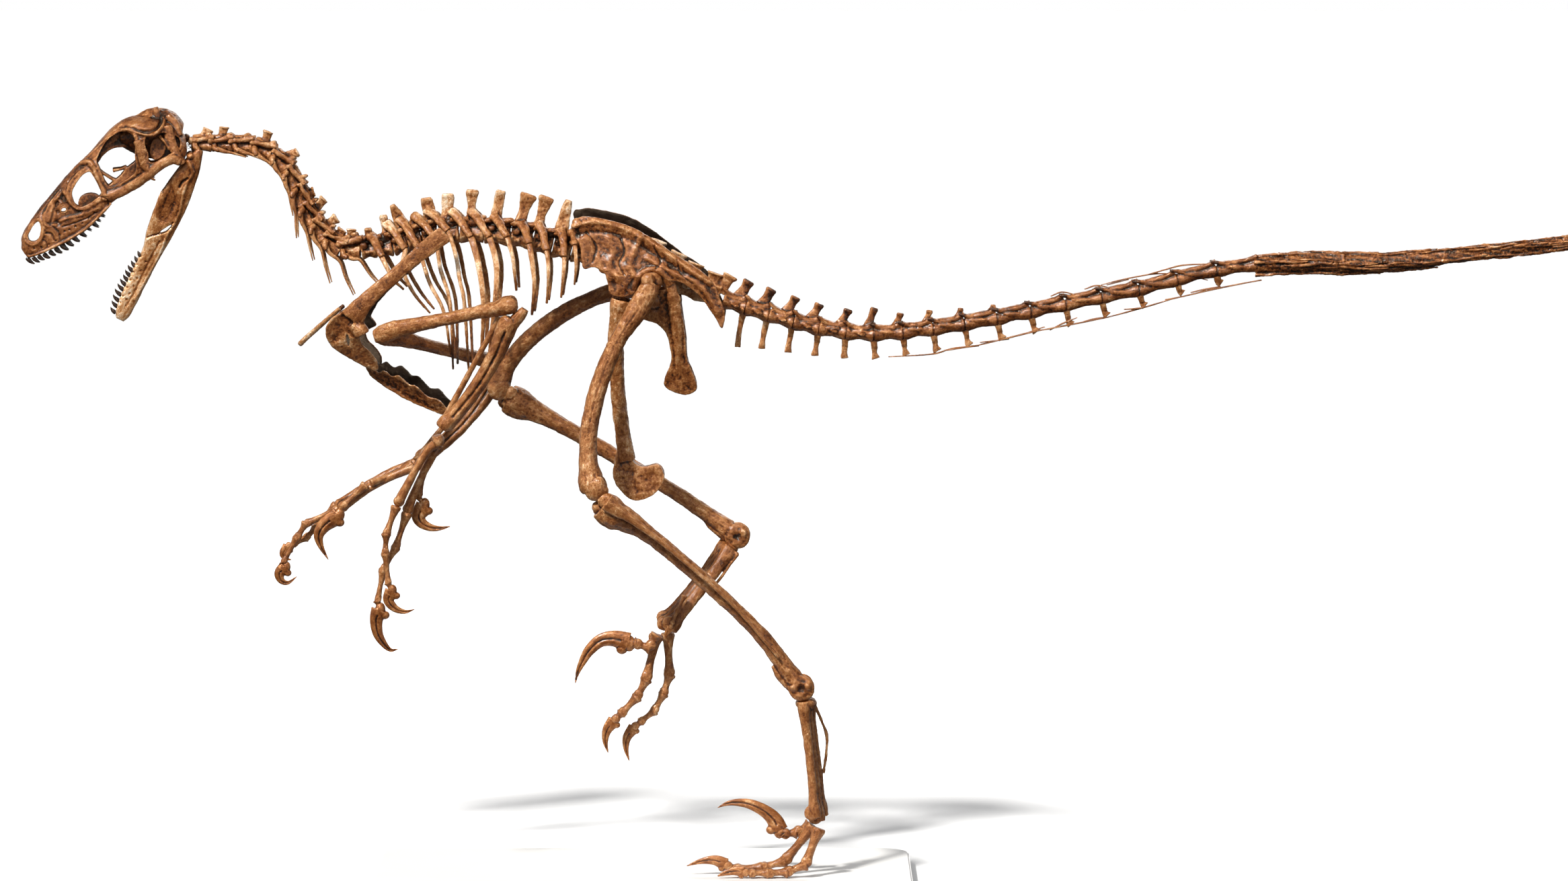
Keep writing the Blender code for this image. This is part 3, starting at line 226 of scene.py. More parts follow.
def bone_resin(name, gloss, pitting, film=0.35):
    """Stained resin: mottled along the bone's fibres and dark in pits, with painted shade in recesses and a
    painted highlight on ridges.
    """
    resin = Finish(name)
    layers = ("fibre", "hollow", "tone")
    fibre, hollow, tone = (resin.add("Attribute", {"attribute_name": layer}).outputs for layer in layers)
    broad = resin.noise(resin.place, 85.0, 5.0, 0.62)
    fine = resin.noise(fibre["Vector"], 420.0, 7.0, 0.7)
    grit = resin.noise(resin.place, 1300.0, 5.0, 0.72)
    cells = resin.add("TexVoronoi", Vector=resin.place, Scale=1150.0, Randomness=1.0).outputs["Distance"]
    pits = resin.spread(cells, 0.05, 0.30, 0.0, 1.0)
    patches = resin.spread(broad, 0.42, 0.62, 1.0, 0.0)
    pitted = resin.add("Math", {"operation": "MAXIMUM"}, _0=pits, _1=patches).outputs[0]
    shade = resin.sum(broad, tone["Fac"], 0.90)
    # The hollow layer paints shade into recesses and a highlight onto ridges.
    for layer, weight in ((fine, 1.00), (grit, 1.05), (pitted, 0.22), (hollow["Fac"], -0.40)):
        shade = resin.sum(layer, shade, weight)
    shade = resin.add("Math", {"operation": "SUBTRACT"}, _0=shade, _1=1.22).outputs[0]
    height = resin.sum(pitted, resin.sum(fine, grit, 1.4), 0.35)
    return resin.dress(
        Base_Color=resin.tint(shade, RESIN_TONES),
        Roughness=resin.spread(grit, 0.35, 0.65, gloss + 0.12, gloss - 0.10),
        Normal=resin.bump(height, pitting, 0.0006), Coat_Normal=resin.bump(height, pitting * 0.5, 0.0003),
        Coat_Weight=film, Coat_Roughness=0.12, Coat_IOR=1.5, Metallic=0.3, Specular_IOR_Level=0.55,
        Specular_Tint=(1.0, 0.78, 0.54, 1.0))


BROWN_RESIN = bone_resin("brown_resin", 0.30, 0.75)
SMOOTH_RESIN = bone_resin("smooth_resin", 0.25, 0.45)
GLOSSY_RESIN = bone_resin("glossy_resin", 0.22, 0.6, 0.45)
# Coatless resin for the far-side pieces, whose colour is painted dark as shade.
FAR_SIDE_SHADE_RESIN = bone_resin("far_side_shade_resin", 0.45, 0.5, 0.0)


def smooth_line(rows, steps=4):
    """Catmull-Rom curve through the rows, with `steps` pieces between neighbours."""
    rows = np.array(rows, dtype=float)
    posts = np.vstack([2 * rows[0] - rows[1], rows, 2 * rows[-1] - rows[-2]])
    curve = []
    for a, b, c, d in zip(posts, posts[1:], posts[2:], posts[3:]):
        for share in np.arange(steps) / steps:
            bend = (2 * a - 5 * b + 4 * c - d) * share ** 2
            twist = (3 * b - a - 3 * c + d) * share ** 3
            curve.append(0.5 * (2 * b + (c - a) * share + bend + twist))
    curve.append(rows[-1])
    return np.array(curve)


def limb(mesh, rows, across=(0, 1, 0), steps=4, sides=12, square=1.0, axis=None):
    """Skin a limb through rows of (x, y, z, half width across, half depth), in millimetres.

    Its rings stand across its own line, or across `axis` where one is given.
    """
    path = smooth_line(rows, steps)
    ways = np.gradient(path[:, :3], axis=0) if axis is None else [axis] * len(path)
    rings = []
    for row, way in zip(path, ways):
        centre = Vector(row[:3])
        along = Vector(way).normalized()
        side = Vector(across)
        side = (side - along * side.dot(along)).normalized()
        deep = along.cross(side)
        ring = []
        for step in range(sides):
            turn = math.tau * (step + 0.5) / sides
            cos, sin = math.cos(turn), math.sin(turn)
            reach = (abs(cos) ** (2 * square) + abs(sin) ** (2 * square)) ** (-0.5 / square)
            spot = centre + side * (cos * reach * max(row[3], 0.2))
            spot += deep * (sin * reach * max(row[4], 0.2))
            ring.append(mesh.verts.new(spot * MM))
        rings.append(ring)
    for near, far in zip(rings, rings[1:]):
        for step in range(sides):
            after = (step + 1) % sides
            mesh.faces.new((near[step], near[after], far[after], far[step]))
    mesh.faces.new(rings[0][::-1])
    mesh.faces.new(rings[-1])


def knob(mesh, centre, radii):
    """Ellipsoid with radii along x, y, z in millimetres."""
    place = Matrix.Translation(Vector(centre) * MM) @ Matrix.Diagonal((*(Vector(radii) * MM), 1.0))
    bmesh.ops.create_icosphere(mesh, subdivisions=3, radius=1.0, matrix=place)


def between(start, end, profile, bow=1.0):
    """Rows for a bone from start to end; profile rows are (share, offset, half width, half depth)."""
    start, end = Vector(start), Vector(end)
    along = (end - start).normalized()
    side = Vector((0, 1, 0))
    side = (side - along * side.dot(along)).normalized()
    deep = along.cross(side)
    rows = []
    for share, offset, half_side, half_deep in profile:
        rows.append((*(start.lerp(end, share) + deep * (offset * bow)), half_side, half_deep))
    return rows


def line_distance(spots, line):
    """Distance of each spot from a line of points, in two or three dimensions."""
    line = np.asarray(line, dtype=float)
    best = np.full(len(spots), 1e9)
    for a, b in zip(line, line[1:]):
        way = b - a
        share = np.clip(((spots - a) @ way) / max(way @ way, 1e-9), 0, 1)
        best = np.minimum(best, np.linalg.norm(spots - a - share[:, None] * way, axis=1))
    return best


def near_line(spots, line, width):
    """1 on the smooth line through the points, fading to nothing over about twice the width."""
    return np.exp(-(line_distance(spots, smooth_line(line, 4)) / width) ** 2)


def near_spot(spots, spot, width):
    return np.exp(-(np.linalg.norm(spots - np.array(spot), axis=1) / width) ** 2)


def settle(item):
    """Apply the object's modifiers."""
    graph = bpy.context.evaluated_depsgraph_get()
    data = bpy.data.meshes.new_from_object(item.evaluated_get(graph))
    item.modifiers.clear()
    old = item.data
    item.data = data
    bpy.data.meshes.remove(old)


def weather_texture(name, size, depth):
    texture = bpy.data.textures.new(name, "CLOUDS")
    texture.noise_scale = size * MM
    texture.noise_depth = depth
    return texture


LUMPS = weather_texture("bone_lumps", 6.0, 2)
CREASES = weather_texture("bone_creases", 1.6, 3)


def weather(item, lumps, creases):
    """Roughen the surface by lumps and creases of these depths in millimetres."""
    for texture, depth in ((LUMPS, lumps), (CREASES, creases)):
        wear = item.modifiers.new("wear", "DISPLACE")
        wear.texture = texture
        wear.texture_coords = "LOCAL"
        wear.strength = depth * MM
        wear.mid_level = 0.5
    settle(item)


def merge_shapes(item, grain):
    """Fuse overlapping shapes into one skin of small even faces."""
    merge = item.modifiers.new("merge", "REMESH")
    merge.mode = "VOXEL"
    merge.voxel_size = grain * MM


def mesh_arrays(data):
    """Places in millimetres, normals and edges of a mesh."""
    count = len(data.vertices)
    spots = np.empty(count * 3)
    normals = np.empty(count * 3)
    edges = np.empty(len(data.edges) * 2, dtype=np.int64)
    data.vertices.foreach_get("co", spots)
    data.vertex_normals.foreach_get("vector", normals)
    data.edges.foreach_get("vertices", edges)
    return spots.reshape(-1, 3) / MM, normals.reshape(-1, 3), edges.reshape(-1, 2)


# Painted shade and highlight: the resin is made darker in recesses and paler on ridges from this measure.
def cavity_shade_and_ridge_light(spots, normals, edges):
    """How far each spot lies in a hollow (+1) or stands on a ridge (-1)."""
    count = len(spots)
    degree = np.maximum(np.bincount(edges.ravel(), minlength=count), 1)
    eased = spots.copy()
    total = np.zeros(count)
    for turn, (rounds, reach) in enumerate(((3, 0.05), (22, 0.32))):
        for _ in range(rounds):
            moved = np.empty_like(eased)
            for axis in range(3):
                values = eased[:, axis]
                moved[:, axis] = np.bincount(edges[:, 0], values[edges[:, 1]], count)
                moved[:, axis] += np.bincount(edges[:, 1], values[edges[:, 0]], count)
            eased = moved / degree[:, None]
        rise = np.einsum("ij,ij->i", eased - spots, normals)
        total += 0.5 * np.tanh(rise / reach)
    return np.where(total > 0, total, total * 0.35)


def keep(data, name, kind, values):
    """Store one value or vector for each point, for the resin to read."""
    layer = data.attributes.new(name, kind, "POINT")
    layer.data.foreach_set("vector" if kind == "FLOAT_VECTOR" else "value",
                           np.asarray(values, dtype=np.float32).ravel())


# How much a bone's mottling is drawn out along it, and the share of its faces kept at the end.
FIBRE_STRETCH = 0.55
KEPT_FACES = 0.48


def cast_bone(name, mesh, *nodes, finish=BROWN_RESIN, slot="bone", grain=0.45, soften=3, lumps=0.5,
              creases=0.22, tone=0.0, along=None, carve=None):
    """Merge the drawn shapes into a resin cast, carve and weather it, and put it in its place.

    `nodes` are the plain solids that it stands for. `grain` is the size of its faces.
    `carve` takes places and normals in millimetres and gives how far each spot is pushed out.
    `tone` shifts the colour, for stains and for painted shade, as one number or as a function
    of the places. `along` is the way that the bone's fibres run.
    """
    item = loose_object(name, mesh)
    merge_shapes(item, grain)
    ease = item.modifiers.new("soften", "SMOOTH")
    ease.factor = 0.5
    ease.iterations = soften
    settle(item)
    if carve is not None:
        spots, normals, _ = mesh_arrays(item.data)
        spots += normals * np.asarray(carve(spots, normals))[:, None]
        item.data.vertices.foreach_set("co", (spots * MM).ravel())
        item.data.update()
    weather(item, lumps, creases)
    spots, normals, edges = mesh_arrays(item.data)
    keep(item.data, "hollow", "FLOAT", cavity_shade_and_ridge_light(spots, normals, edges))
    keep(item.data, "tone", "FLOAT", tone(spots, normals) if callable(tone) else np.full(len(spots), tone))
    fibre = spots * MM
    if along is not None:
        way = np.array(Vector(along).normalized())
        fibre = fibre - np.outer(fibre @ way, way) * FIBRE_STRETCH
    keep(item.data, "fibre", "FLOAT_VECTOR", fibre)
    thin = item.modifiers.new("thin", "DECIMATE")
    thin.ratio = KEPT_FACES
    settle(item)
    fix_piece(item, finish, nodes)


TOE_GRAIN = 0.36


def toe_bone(mesh, start, end, size):
    """Toe or finger bone: a cupped near end, a waisted shaft and a grooved roller at the far end."""
    start, end = Vector(start), Vector(end)
    way = (end - start).normalized()
    near, far = start - way * 0.9, end - way * size * 0.3
    profile = ((0.0, 0, size * 1.0, size * 1.1), (0.08, 0, size * 1.16, size * 1.24),
               (0.22, 0, size * 0.96, size * 0.94), (0.5, 0, size * 0.72, size * 0.68),
               (0.78, 0, size * 0.78, size * 0.74), (0.93, 0, size * 0.94, size * 0.94),
               (1.0, 0, size * 0.8, size * 0.8))
    limb(mesh, between(near, far, profile), steps=3, sides=12)
    for side in (-1, 1):
        knob(mesh, end - way * size * 0.6 + Vector((0, side * size * 0.46, 0)),
             (size * 0.95, size * 0.5, size * 0.98))


def claw_shape(mesh, line, y, heights):
    """Curved claw with a cupped base and, below it, the lump that its tendon pulled on."""
    rows = []
    for (x, z), height in zip(line, heights):
        rows.append((x, y, z, max(height * 0.5, 0.3), max(height * 1.08, 0.3)))
    limb(mesh, rows, steps=6, sides=14)
    (x0, z0), (x1, z1) = line[0], line[1]
    way = Vector((x1 - x0, 0, z1 - z0)).normalized()
    curl = Vector((line[-1][0] - x1, 0, line[-1][1] - z1))
    under = (curl - way * curl.dot(way)).normalized()
    size = heights[0]
    knob(mesh, Vector((x0, y, z0)) + under * size * 0.75 + way * size * 0.35,
         (size * 0.55, size * 0.42, size * 0.5))
    knob(mesh, Vector((x0, y, z0)) - way * size * 0.15, (size * 0.6, size * 0.5, size * 0.8))


def claw_grooves(line, heights):
    """Carving for the blood groove along each side of a claw."""
    path = smooth_line([(x, z) for x, z in line], 5)[3:-2]
    depth = heights[0] * 0.11

    def carve(spots, normals):
        gap = line_distance(spots[:, (0, 2)], path)
        return -depth * np.exp(-(gap / (heights[0] * 0.13)) ** 2) * (np.abs(normals[:, 1]) > 0.35)

    return carve


def cast_toe(name, joints, line, heights, y, sizes, node):
    """A row of toe bones, and the claw at its end as a piece of its own."""
    mesh = bmesh.new()
    for start, end, size in zip(joints, joints[1:], sizes):
        toe_bone(mesh, start, end, size)
    reach = Vector(joints[-1]).lerp(Vector((line[0][0], y, line[0][1])), 1.02)
    toe_bone(mesh, joints[-1], reach, sizes[-1] * 0.95)
    way = Vector(joints[-1]) - Vector(joints[0])
    cast_bone(name, mesh, node, grain=TOE_GRAIN, along=way, creases=0.3, soften=2)
    mesh = bmesh.new()
    claw_shape(mesh, line, y, heights)
    way = Vector((line[-1][0] - line[0][0], 0, line[-1][1] - line[0][1]))
    cast_bone(f"{name}_claw", mesh, node, finish=SMOOTH_RESIN, slot="claw", grain=TOE_GRAIN * 0.9,
              along=way, lumps=0.15, creases=0.08, tone=-0.03, carve=claw_grooves(line, heights))


LEFT_TOES = {
    "first_toe": (((105.5, -7, 66), (105.5, -6.5, 58), (105, -6, 51)),
                  ((104.5, 48.5), (104, 45.4), (102, 43)), (2.0, 1.5, 0.3), -6, (1.7, 1.5)),
    "second_toe": (((101.5, -7.5, 38), (93.5, -7.5, 33.6), (85.5, -7.5, 33)),
                   ((83.2, 35.2), (80.6, 41.6), (74.5, 47.2), (66, 51.2), (58, 52.4), (51.5, 51.6),
                    (45.8, 49.1)),
                   (5.6, 4.6, 3.7, 3.0, 2.2, 1.3, 0.3), -7.5, (3.6, 3.4)),
    "third_toe": (((104, -16.5, 39), (87, -16.5, 17.6), (72.5, -16.8, 13.4), (56.5, -17, 13.2)),
                  ((51, 15.4), (44.5, 18.2), (36, 17.6), (27, 14.7)), (4.0, 3.0, 1.7, 0.3), -17,
                  (3.8, 3.3, 3.1)),
    "fourth_toe": (((107.5, -25, 38.5), (99.5, -27, 17.0), (88, -28, 12.8), (76.5, -29, 12.3),
                    (66, -29.5, 12.4)),
                   ((62, 13.2), (57, 13.8), (51.5, 12.6), (46, 10.6)), (3.4, 2.6, 1.7, 0.4), -29.5,
                   (3.7, 3.2, 2.9, 2.7)),
}
for toe, (joints, line, heights, y, sizes) in LEFT_TOES.items():
    cast_toe(f"left_{toe}", joints, line, heights, y, sizes, f"{toe}_left")

METATARSAL = ((-0.02, 0, 3.2, 5.6), (0.05, 0.1, 3.6, 5.4), (0.15, 0.3, 3.0, 4.3), (0.4, 1.2, 2.6, 3.8),
              (0.7, 1.8, 2.7, 3.8), (0.86, 1.7, 3.4, 4.2), (0.94, 1.9, 4.0, 5.4), (1.02, 2.2, 3.6, 5.2))


def cast_foot_bones(name, ankle, ball, splint, out, node, stout=1.0):
    """Three metatarsals side by side with grooves between them, and the thin splint behind."""
    mesh = bmesh.new()
    ankle, ball = Vector(ankle), Vector(ball)
    way = (ball - ankle).normalized()
    for lane, shorter in ((-1, 0.045), (0, 0.0), (1, 0.03)):
        aside = Vector((0, lane * 4.6, 0)) + way.cross(Vector((0, 1, 0))) * (-1.7 * lane * out)
        foot = ankle.lerp(ball, 1 - shorter) + aside * 1.25
        limb(mesh, between(ankle + aside, foot, [(a, b, c, d * stout) for a, b, c, d in METATARSAL]),
             steps=4)
        for side in (-1, 1):
            knob(mesh, foot - way * 1.5 + Vector((0, side * 1.9, 0)), (4.6, 1.7, 4.6))
    knob(mesh, ankle + way * 0.5, (6.6, 7.0, 4.4))
    limb(mesh, [(*spot, 0.8, 1.0) for spot in splint], steps=4, sides=8)
    limb(mesh, [(*ankle.lerp(ball, 0.06), 2, 2), (*splint[0], 1.1, 1.1)], steps=2, sides=8)
    cast_bone(name, mesh, node, grain=0.42, along=ball - ankle, creases=0.35, lumps=0.7, soften=2)


cast_foot_bones("left_metatarsus", (100.0, -19, 115.6), (105.8, -16, 43.5),
                ((104.8, -11, 114), (109.2, -9.5, 103.6), (112.6, -9, 94), (112.2, -9.5, 82),
                 (110.6, -10.5, 71)),
                -1, "metatarsus_left", 0.74)

# ---- Standing leg ----
# The shin bone ends in a round ankle roller and has the thin splint-like fibula on its outer side.
# The thigh bone bows forwards and carries a round head that sits in the hip socket.

TIBIA = ((0.0, -1.6, 6.6, 8.8), (0.025, -1.2, 7.6, 9.8), (0.06, -0.6, 7.4, 9.4), (0.12, 2.6, 5.6, 6.8),
         (0.24, 5.2, 4.5, 4.9), (0.45, 7.0, 4.3, 4.8), (0.63, 7.3, 4.2, 4.5), (0.77, 6.3, 4.2, 4.7),
         (0.89, 2.8, 5.3, 5.3), (0.96, 0.6, 6.4, 6.4))
FIBULA = ((0.0, 2.4, 2.0, 5.4), (0.05, 3.2, 2.0, 4.4), (0.12, 5.2, 1.5, 2.6), (0.3, 7.8, 1.2, 1.5),
          (0.6, 9.0, 0.9, 1.1), (0.86, 4.6, 0.8, 1.0))
SHIN_CREST = ((-0.01, -4.4, 2.2, 4.6), (0.04, -3.6, 2.4, 5.8), (0.1, -1.4, 2.0, 5.4), (0.17, 1.8, 1.5, 3.8),
              (0.26, 4.8, 1.0, 2.4))
FEMUR = ((0.0, 0, 3.8, 5.0), (0.05, -1.2, 4.4, 6.4), (0.14, -4.0, 4.6, 6.8), (0.22, -7.4, 4.5, 5.6),
         (0.30, -10.4, 4.4, 5.0), (0.445, -13.2, 4.6, 5.3), (0.58, -13.7, 4.8, 5.5),
         (0.73, -12.0, 4.8, 5.4),
         (0.87, -7.2, 5.6, 5.8), (0.94, -3.2, 7.6, 7.6), (0.985, -0.6, 8.2, 7.4), (1.0, 0.4, 7.4, 5.6))


def cast_leg(label, out, hip, knee, shin, ankle, bow):
    """Thigh, shin and fibula of one leg."""
    hip, knee, shin, ankle = Vector(hip), Vector(knee), Vector(shin), Vector(ankle)
    mesh = bmesh.new()
    limb(mesh, between(shin, ankle, TIBIA, bow), steps=5, sides=16)
    limb(mesh, between(shin + Vector((0, -out * 3.5, 0)), ankle, SHIN_CREST, bow), steps=4, sides=12)
    down = (ankle - shin).normalized()
    front = Vector((down.z, 0, -down.x))
    for aside, ahead, size in ((-4.8, 2.5, (5.4, 3.2, 5.0)), (4.6, 1.0, (5.0, 3.4, 5.4)),
                               (0, -4, (4.4, 4.0, 4.0))):
        knob(mesh, shin + Vector((0, aside, 0)) - front * ahead - down * 0.5, size)
    knob(mesh, ankle, (7.4, 3.6, 7.4))
    for side in (-1, 1):
        knob(mesh, ankle + Vector((0, side * 4.8, 0)), (8.1, 2.6, 8.0))
        knob(mesh, ankle + Vector((0, side * 6.2, 0)) + front * 2.4 - down * 3.0, (3.0, 1.7, 2.4))
        knob(mesh, ankle + Vector((0, side * 6.6, 0)) - front * 3.6 + down * 1.5, (2.4, 1.5, 3.0))
    spur = ankle - down * 14 + front * 4.4
    limb(mesh, [(*(spur - down * 8 - front * 2), 2.4, 1.2), (*spur, 3.4, 2.0),
                (*(ankle - down * 3 + front * 4.6), 4.2, 2.6)],
         steps=3, sides=12)
    way = ankle - shin

    def ankle_rings(spots, normals):
        """The roller's rim and the hollow in its flank."""
        gap = np.linalg.norm(spots[:, (0, 2)] - np.array((ankle.x, ankle.z)), axis=1)
        flank = np.abs(normals[:, 1]) > 0.5
        lobes = np.sin(3 * np.arctan2(spots[:, 2] - ankle.z, spots[:, 0] - ankle.x) + 0.7)
        return flank * (-1.7 * np.exp(-(gap / 2.4) ** 2) + 0.5 * lobes * np.exp(-((gap - 5.0) / 1.6) ** 2))

    cast_bone(f"{label}_tibia", mesh, f"tibia_{label}", grain=0.5, along=way, carve=ankle_rings,
              creases=0.4, lumps=1.1, soften=2)
    mesh = bmesh.new()
    aside = Vector((0, out * 9.4, 0))
    limb(mesh, between(shin + aside, ankle + Vector((0, out * 7.2, 0)), FIBULA, bow), steps=5, sides=10)
    cast_bone(f"{label}_fibula", mesh, f"fibula_{label}", grain=0.4, along=way, creases=0.2, lumps=0.3)
    mesh = bmesh.new()
    top = hip + Vector((0, out * 4.0, 0))
    limb(mesh, between(top, knee, FEMUR), steps=5, sides=16)
    knob(mesh, hip + Vector((0, -out * 1.0, 0)), (6.0, 5.4, 6.0))
    knob(mesh, hip + Vector((-2.6, out * 4.6, 1.0)), (4.2, 3.4, 5.2))
    down = (knee - hip).normalized()
    back = Vector((-down.z, 0, down.x))
    for side in (-1, 1):
        knob(mesh, knee + Vector((0, side * 4.6, 0)) - down * 3.4 + back * 1.2, (7.2, 4.0, 8.0))
    knob(mesh, knee + back * 6.4 - down * 3.4 + Vector((0, out * 4.6, 0)), (3.4, 2.6, 3.8))
    shaft = smooth_line([row[:3] for row in between(top, knee, FEMUR)], 4)

    def muscle_scars(spots, normals):
        gap = line_distance(spots, shaft[8:30] + np.array((0, out * 4.6, 0)))
        return -0.25 * np.exp(-(gap / 0.7) ** 2)

    # The far thigh bone is made slightly darker than the near one, as painted shade.
    cast_bone(f"{label}_femur", mesh, f"femur_{label}", grain=0.55, along=knee - hip, carve=muscle_scars,
              creases=0.45, lumps=0.9, soften=2, tone=0.02 if out < 0 else -0.05)


cast_leg("left", -1, (7.0, -21, 371.8), (-29.4, -35, 245.6), (-22.0, -35, 239.0), (97.0, -20, 125.0), 1.0)

# ---- Lifted foot and leg ----
# The right leg swings forwards with its toes hanging and the sickle claw held clear. Same casting,
# and the same three metatarsals, as on the standing side.

RIGHT_TOES = {
    "first_toe": (((25, 27, 175), (20.5, 25, 166), (17.5, 24, 158.5)),
                  ((16.5, 156), (14.2, 152.6), (13.4, 149)), (2.0, 1.5, 0.3), 24, (1.7, 1.5)),
    "second_toe": (((8, 25.5, 151), (3.4, 25.5, 143.5), (-5.5, 25.5, 146.5)),
                   ((-9.8, 146.5), (-18, 149.2), (-26.6, 147.9), (-33.8, 141.5), (-38.2, 134), (-40.8, 128),
                    (-42.3, 121.4)), (6.4, 4.8, 3.9, 3.2, 2.2, 1.3, 0.3), 25.5, (3.6, 3.4)),
    "third_toe": (((7.5, 34, 150), (1.2, 34.5, 122.3), (-4.5, 34.5, 111.5), (-14.5, 35, 101)),
                  ((-18.6, 97), (-23, 91), (-24.2, 84), (-22.5, 76.7)), (4.0, 2.9, 1.7, 0.3), 35,
                  (3.8, 3.3, 3.1)),
    "fourth_toe": (((14.5, 42, 150), (15.5, 43, 124), (11.5, 43.5, 112), (5.8, 44, 101.5),
                    (-2.8, 44, 94.5)),
                   ((-6.6, 91.5), (-11, 85), (-11.6, 78), (-9.7, 70.3)), (3.6, 2.7, 1.6, 0.3), 44,
                   (3.7, 3.2, 2.9, 2.7)),
}
for toe, (joints, line, heights, y, sizes) in RIGHT_TOES.items():
    cast_toe(f"right_{toe}", joints, line, heights, y, sizes, f"{toe}_right")
cast_foot_bones("right_metatarsus", (52.0, 48.5, 203.0), (11.5, 34, 156.5),
                ((58, 41, 200), (53.6, 41, 194), (48, 40.5, 186), (42.5, 40, 179)), 1, "metatarsus_right")
cast_leg("right", 1, (7.0, 21, 371.8), (-93.3, 52, 302.0), (-84.0, 52, 296.5), (57.6, 50, 210.5), 0.4)

# ---- Hip bones ----
# Each hip blade is a thin plate with a ring for the thigh's head. The long pubis hangs below it with
# a boot at its end, and the flat ischium slants down behind. They are cast singly and pinned together.


def smooth_loop(rows, steps=3):
    """Closed Catmull-Rom outline through the rows."""
    rows = list(rows)
    wrapped = smooth_line(rows[-2:] + rows + rows[:2], steps)
    return wrapped[2 * steps:][:len(rows) * steps]


def plate(mesh, outline, thick, depth, steps=4, place=None):
    """Plate with a smooth closed (x, z) outline; depth(x, z) gives the y of its mid plane."""
    place = place or (lambda x, y, z: Vector((x, y, z)))
    loop = smooth_loop(outline, steps)
    faces = []
    for offset in (-thick / 2, thick / 2):
        faces.append([mesh.verts.new(place(x, depth(x, z) + offset, z) * MM) for x, z in loop])
    near, far = faces
    mesh.faces.new(near)
    mesh.faces.new(far[::-1])
    for step in range(len(loop)):
        after = (step + 1) % len(loop)
        mesh.faces.new((near[after], near[step], far[step], far[after]))


ILIUM_OUTLINE = ((-41, 408), (-36, 411), (-28, 410.5), (-16, 408.2), (-4, 404), (8, 397), (17, 391),
                 (26, 385), (36, 379), (43.5, 371.5), (48, 361), (50.8, 352), (49, 344), (45.3, 349.5),
                 (39.5, 358), (34, 364.5), (25.5, 371), (17, 373), (11, 378), (4, 378), (-1, 372.5),
                 (-4, 365), (-11, 362.5), (-18.5, 364.5), (-20, 371), (-22, 377), (-28, 380.5),
                 (-34.5, 379.5), (-36, 386), (-37, 394), (-41, 400))
# Raised lines and furrows of the blade's outer face: (line, height, width).
ILIUM_RIDGES = (
    (((-41, 405), (-28.7, 408), (-13.7, 405), (-1.2, 399.5), (13.7, 390.5), (28.7, 379.8), (41.2, 371.5)),
     1.3, 1.8),
    (((-38, 400), (-27, 402), (-14, 400), (-2, 394.5), (12, 386), (26, 376.5)), -0.9, 1.6),
    (((0, 398), (-4.5, 389), (-6.5, 382), (-4, 376)), 1.3, 2.0),
    (((3.8, 386), (16.2, 379), (28.7, 373.5), (38.7, 366.5), (46.2, 353.5)), 1.1, 1.7),
    (((-34, 398), (-30, 391), (-25, 385)), 0.9, 2.4),
    (((-20, 398), (-17, 390), (-19, 382), (-14, 374)), 0.8, 2.2),
    (((-33, 402), (-27, 393), (-29, 384)), -0.7, 0.7),
    (((-12, 398), (-10, 390), (-13, 383), (-10, 376)), -0.8, 0.7),
    (((8, 393), (12, 384), (9, 380)), -0.6, 0.7), (((22, 385), (24, 377), (31, 371)), -0.6, 0.6),
)
ILIUM_HOLLOWS = (((-25, 393), 1.2, 6.5), ((-13, 388), 0.9, 4.0), ((2, 389), 0.9, 4.5),
                 ((19, 382), 0.6, 3.5), ((-16, 371), 0.8, 3.5))


def relief(flat, lines, pits, rise=1):
    """Push of raised lines, or of grooves where rise is -1, less the push of round pits."""
    push = np.zeros(len(flat))
    for line, height, width in lines:
        push += rise * height * near_line(flat, line, width)
    for spot, depth, width in pits:
        push -= depth * near_spot(flat, spot, width)
    return push


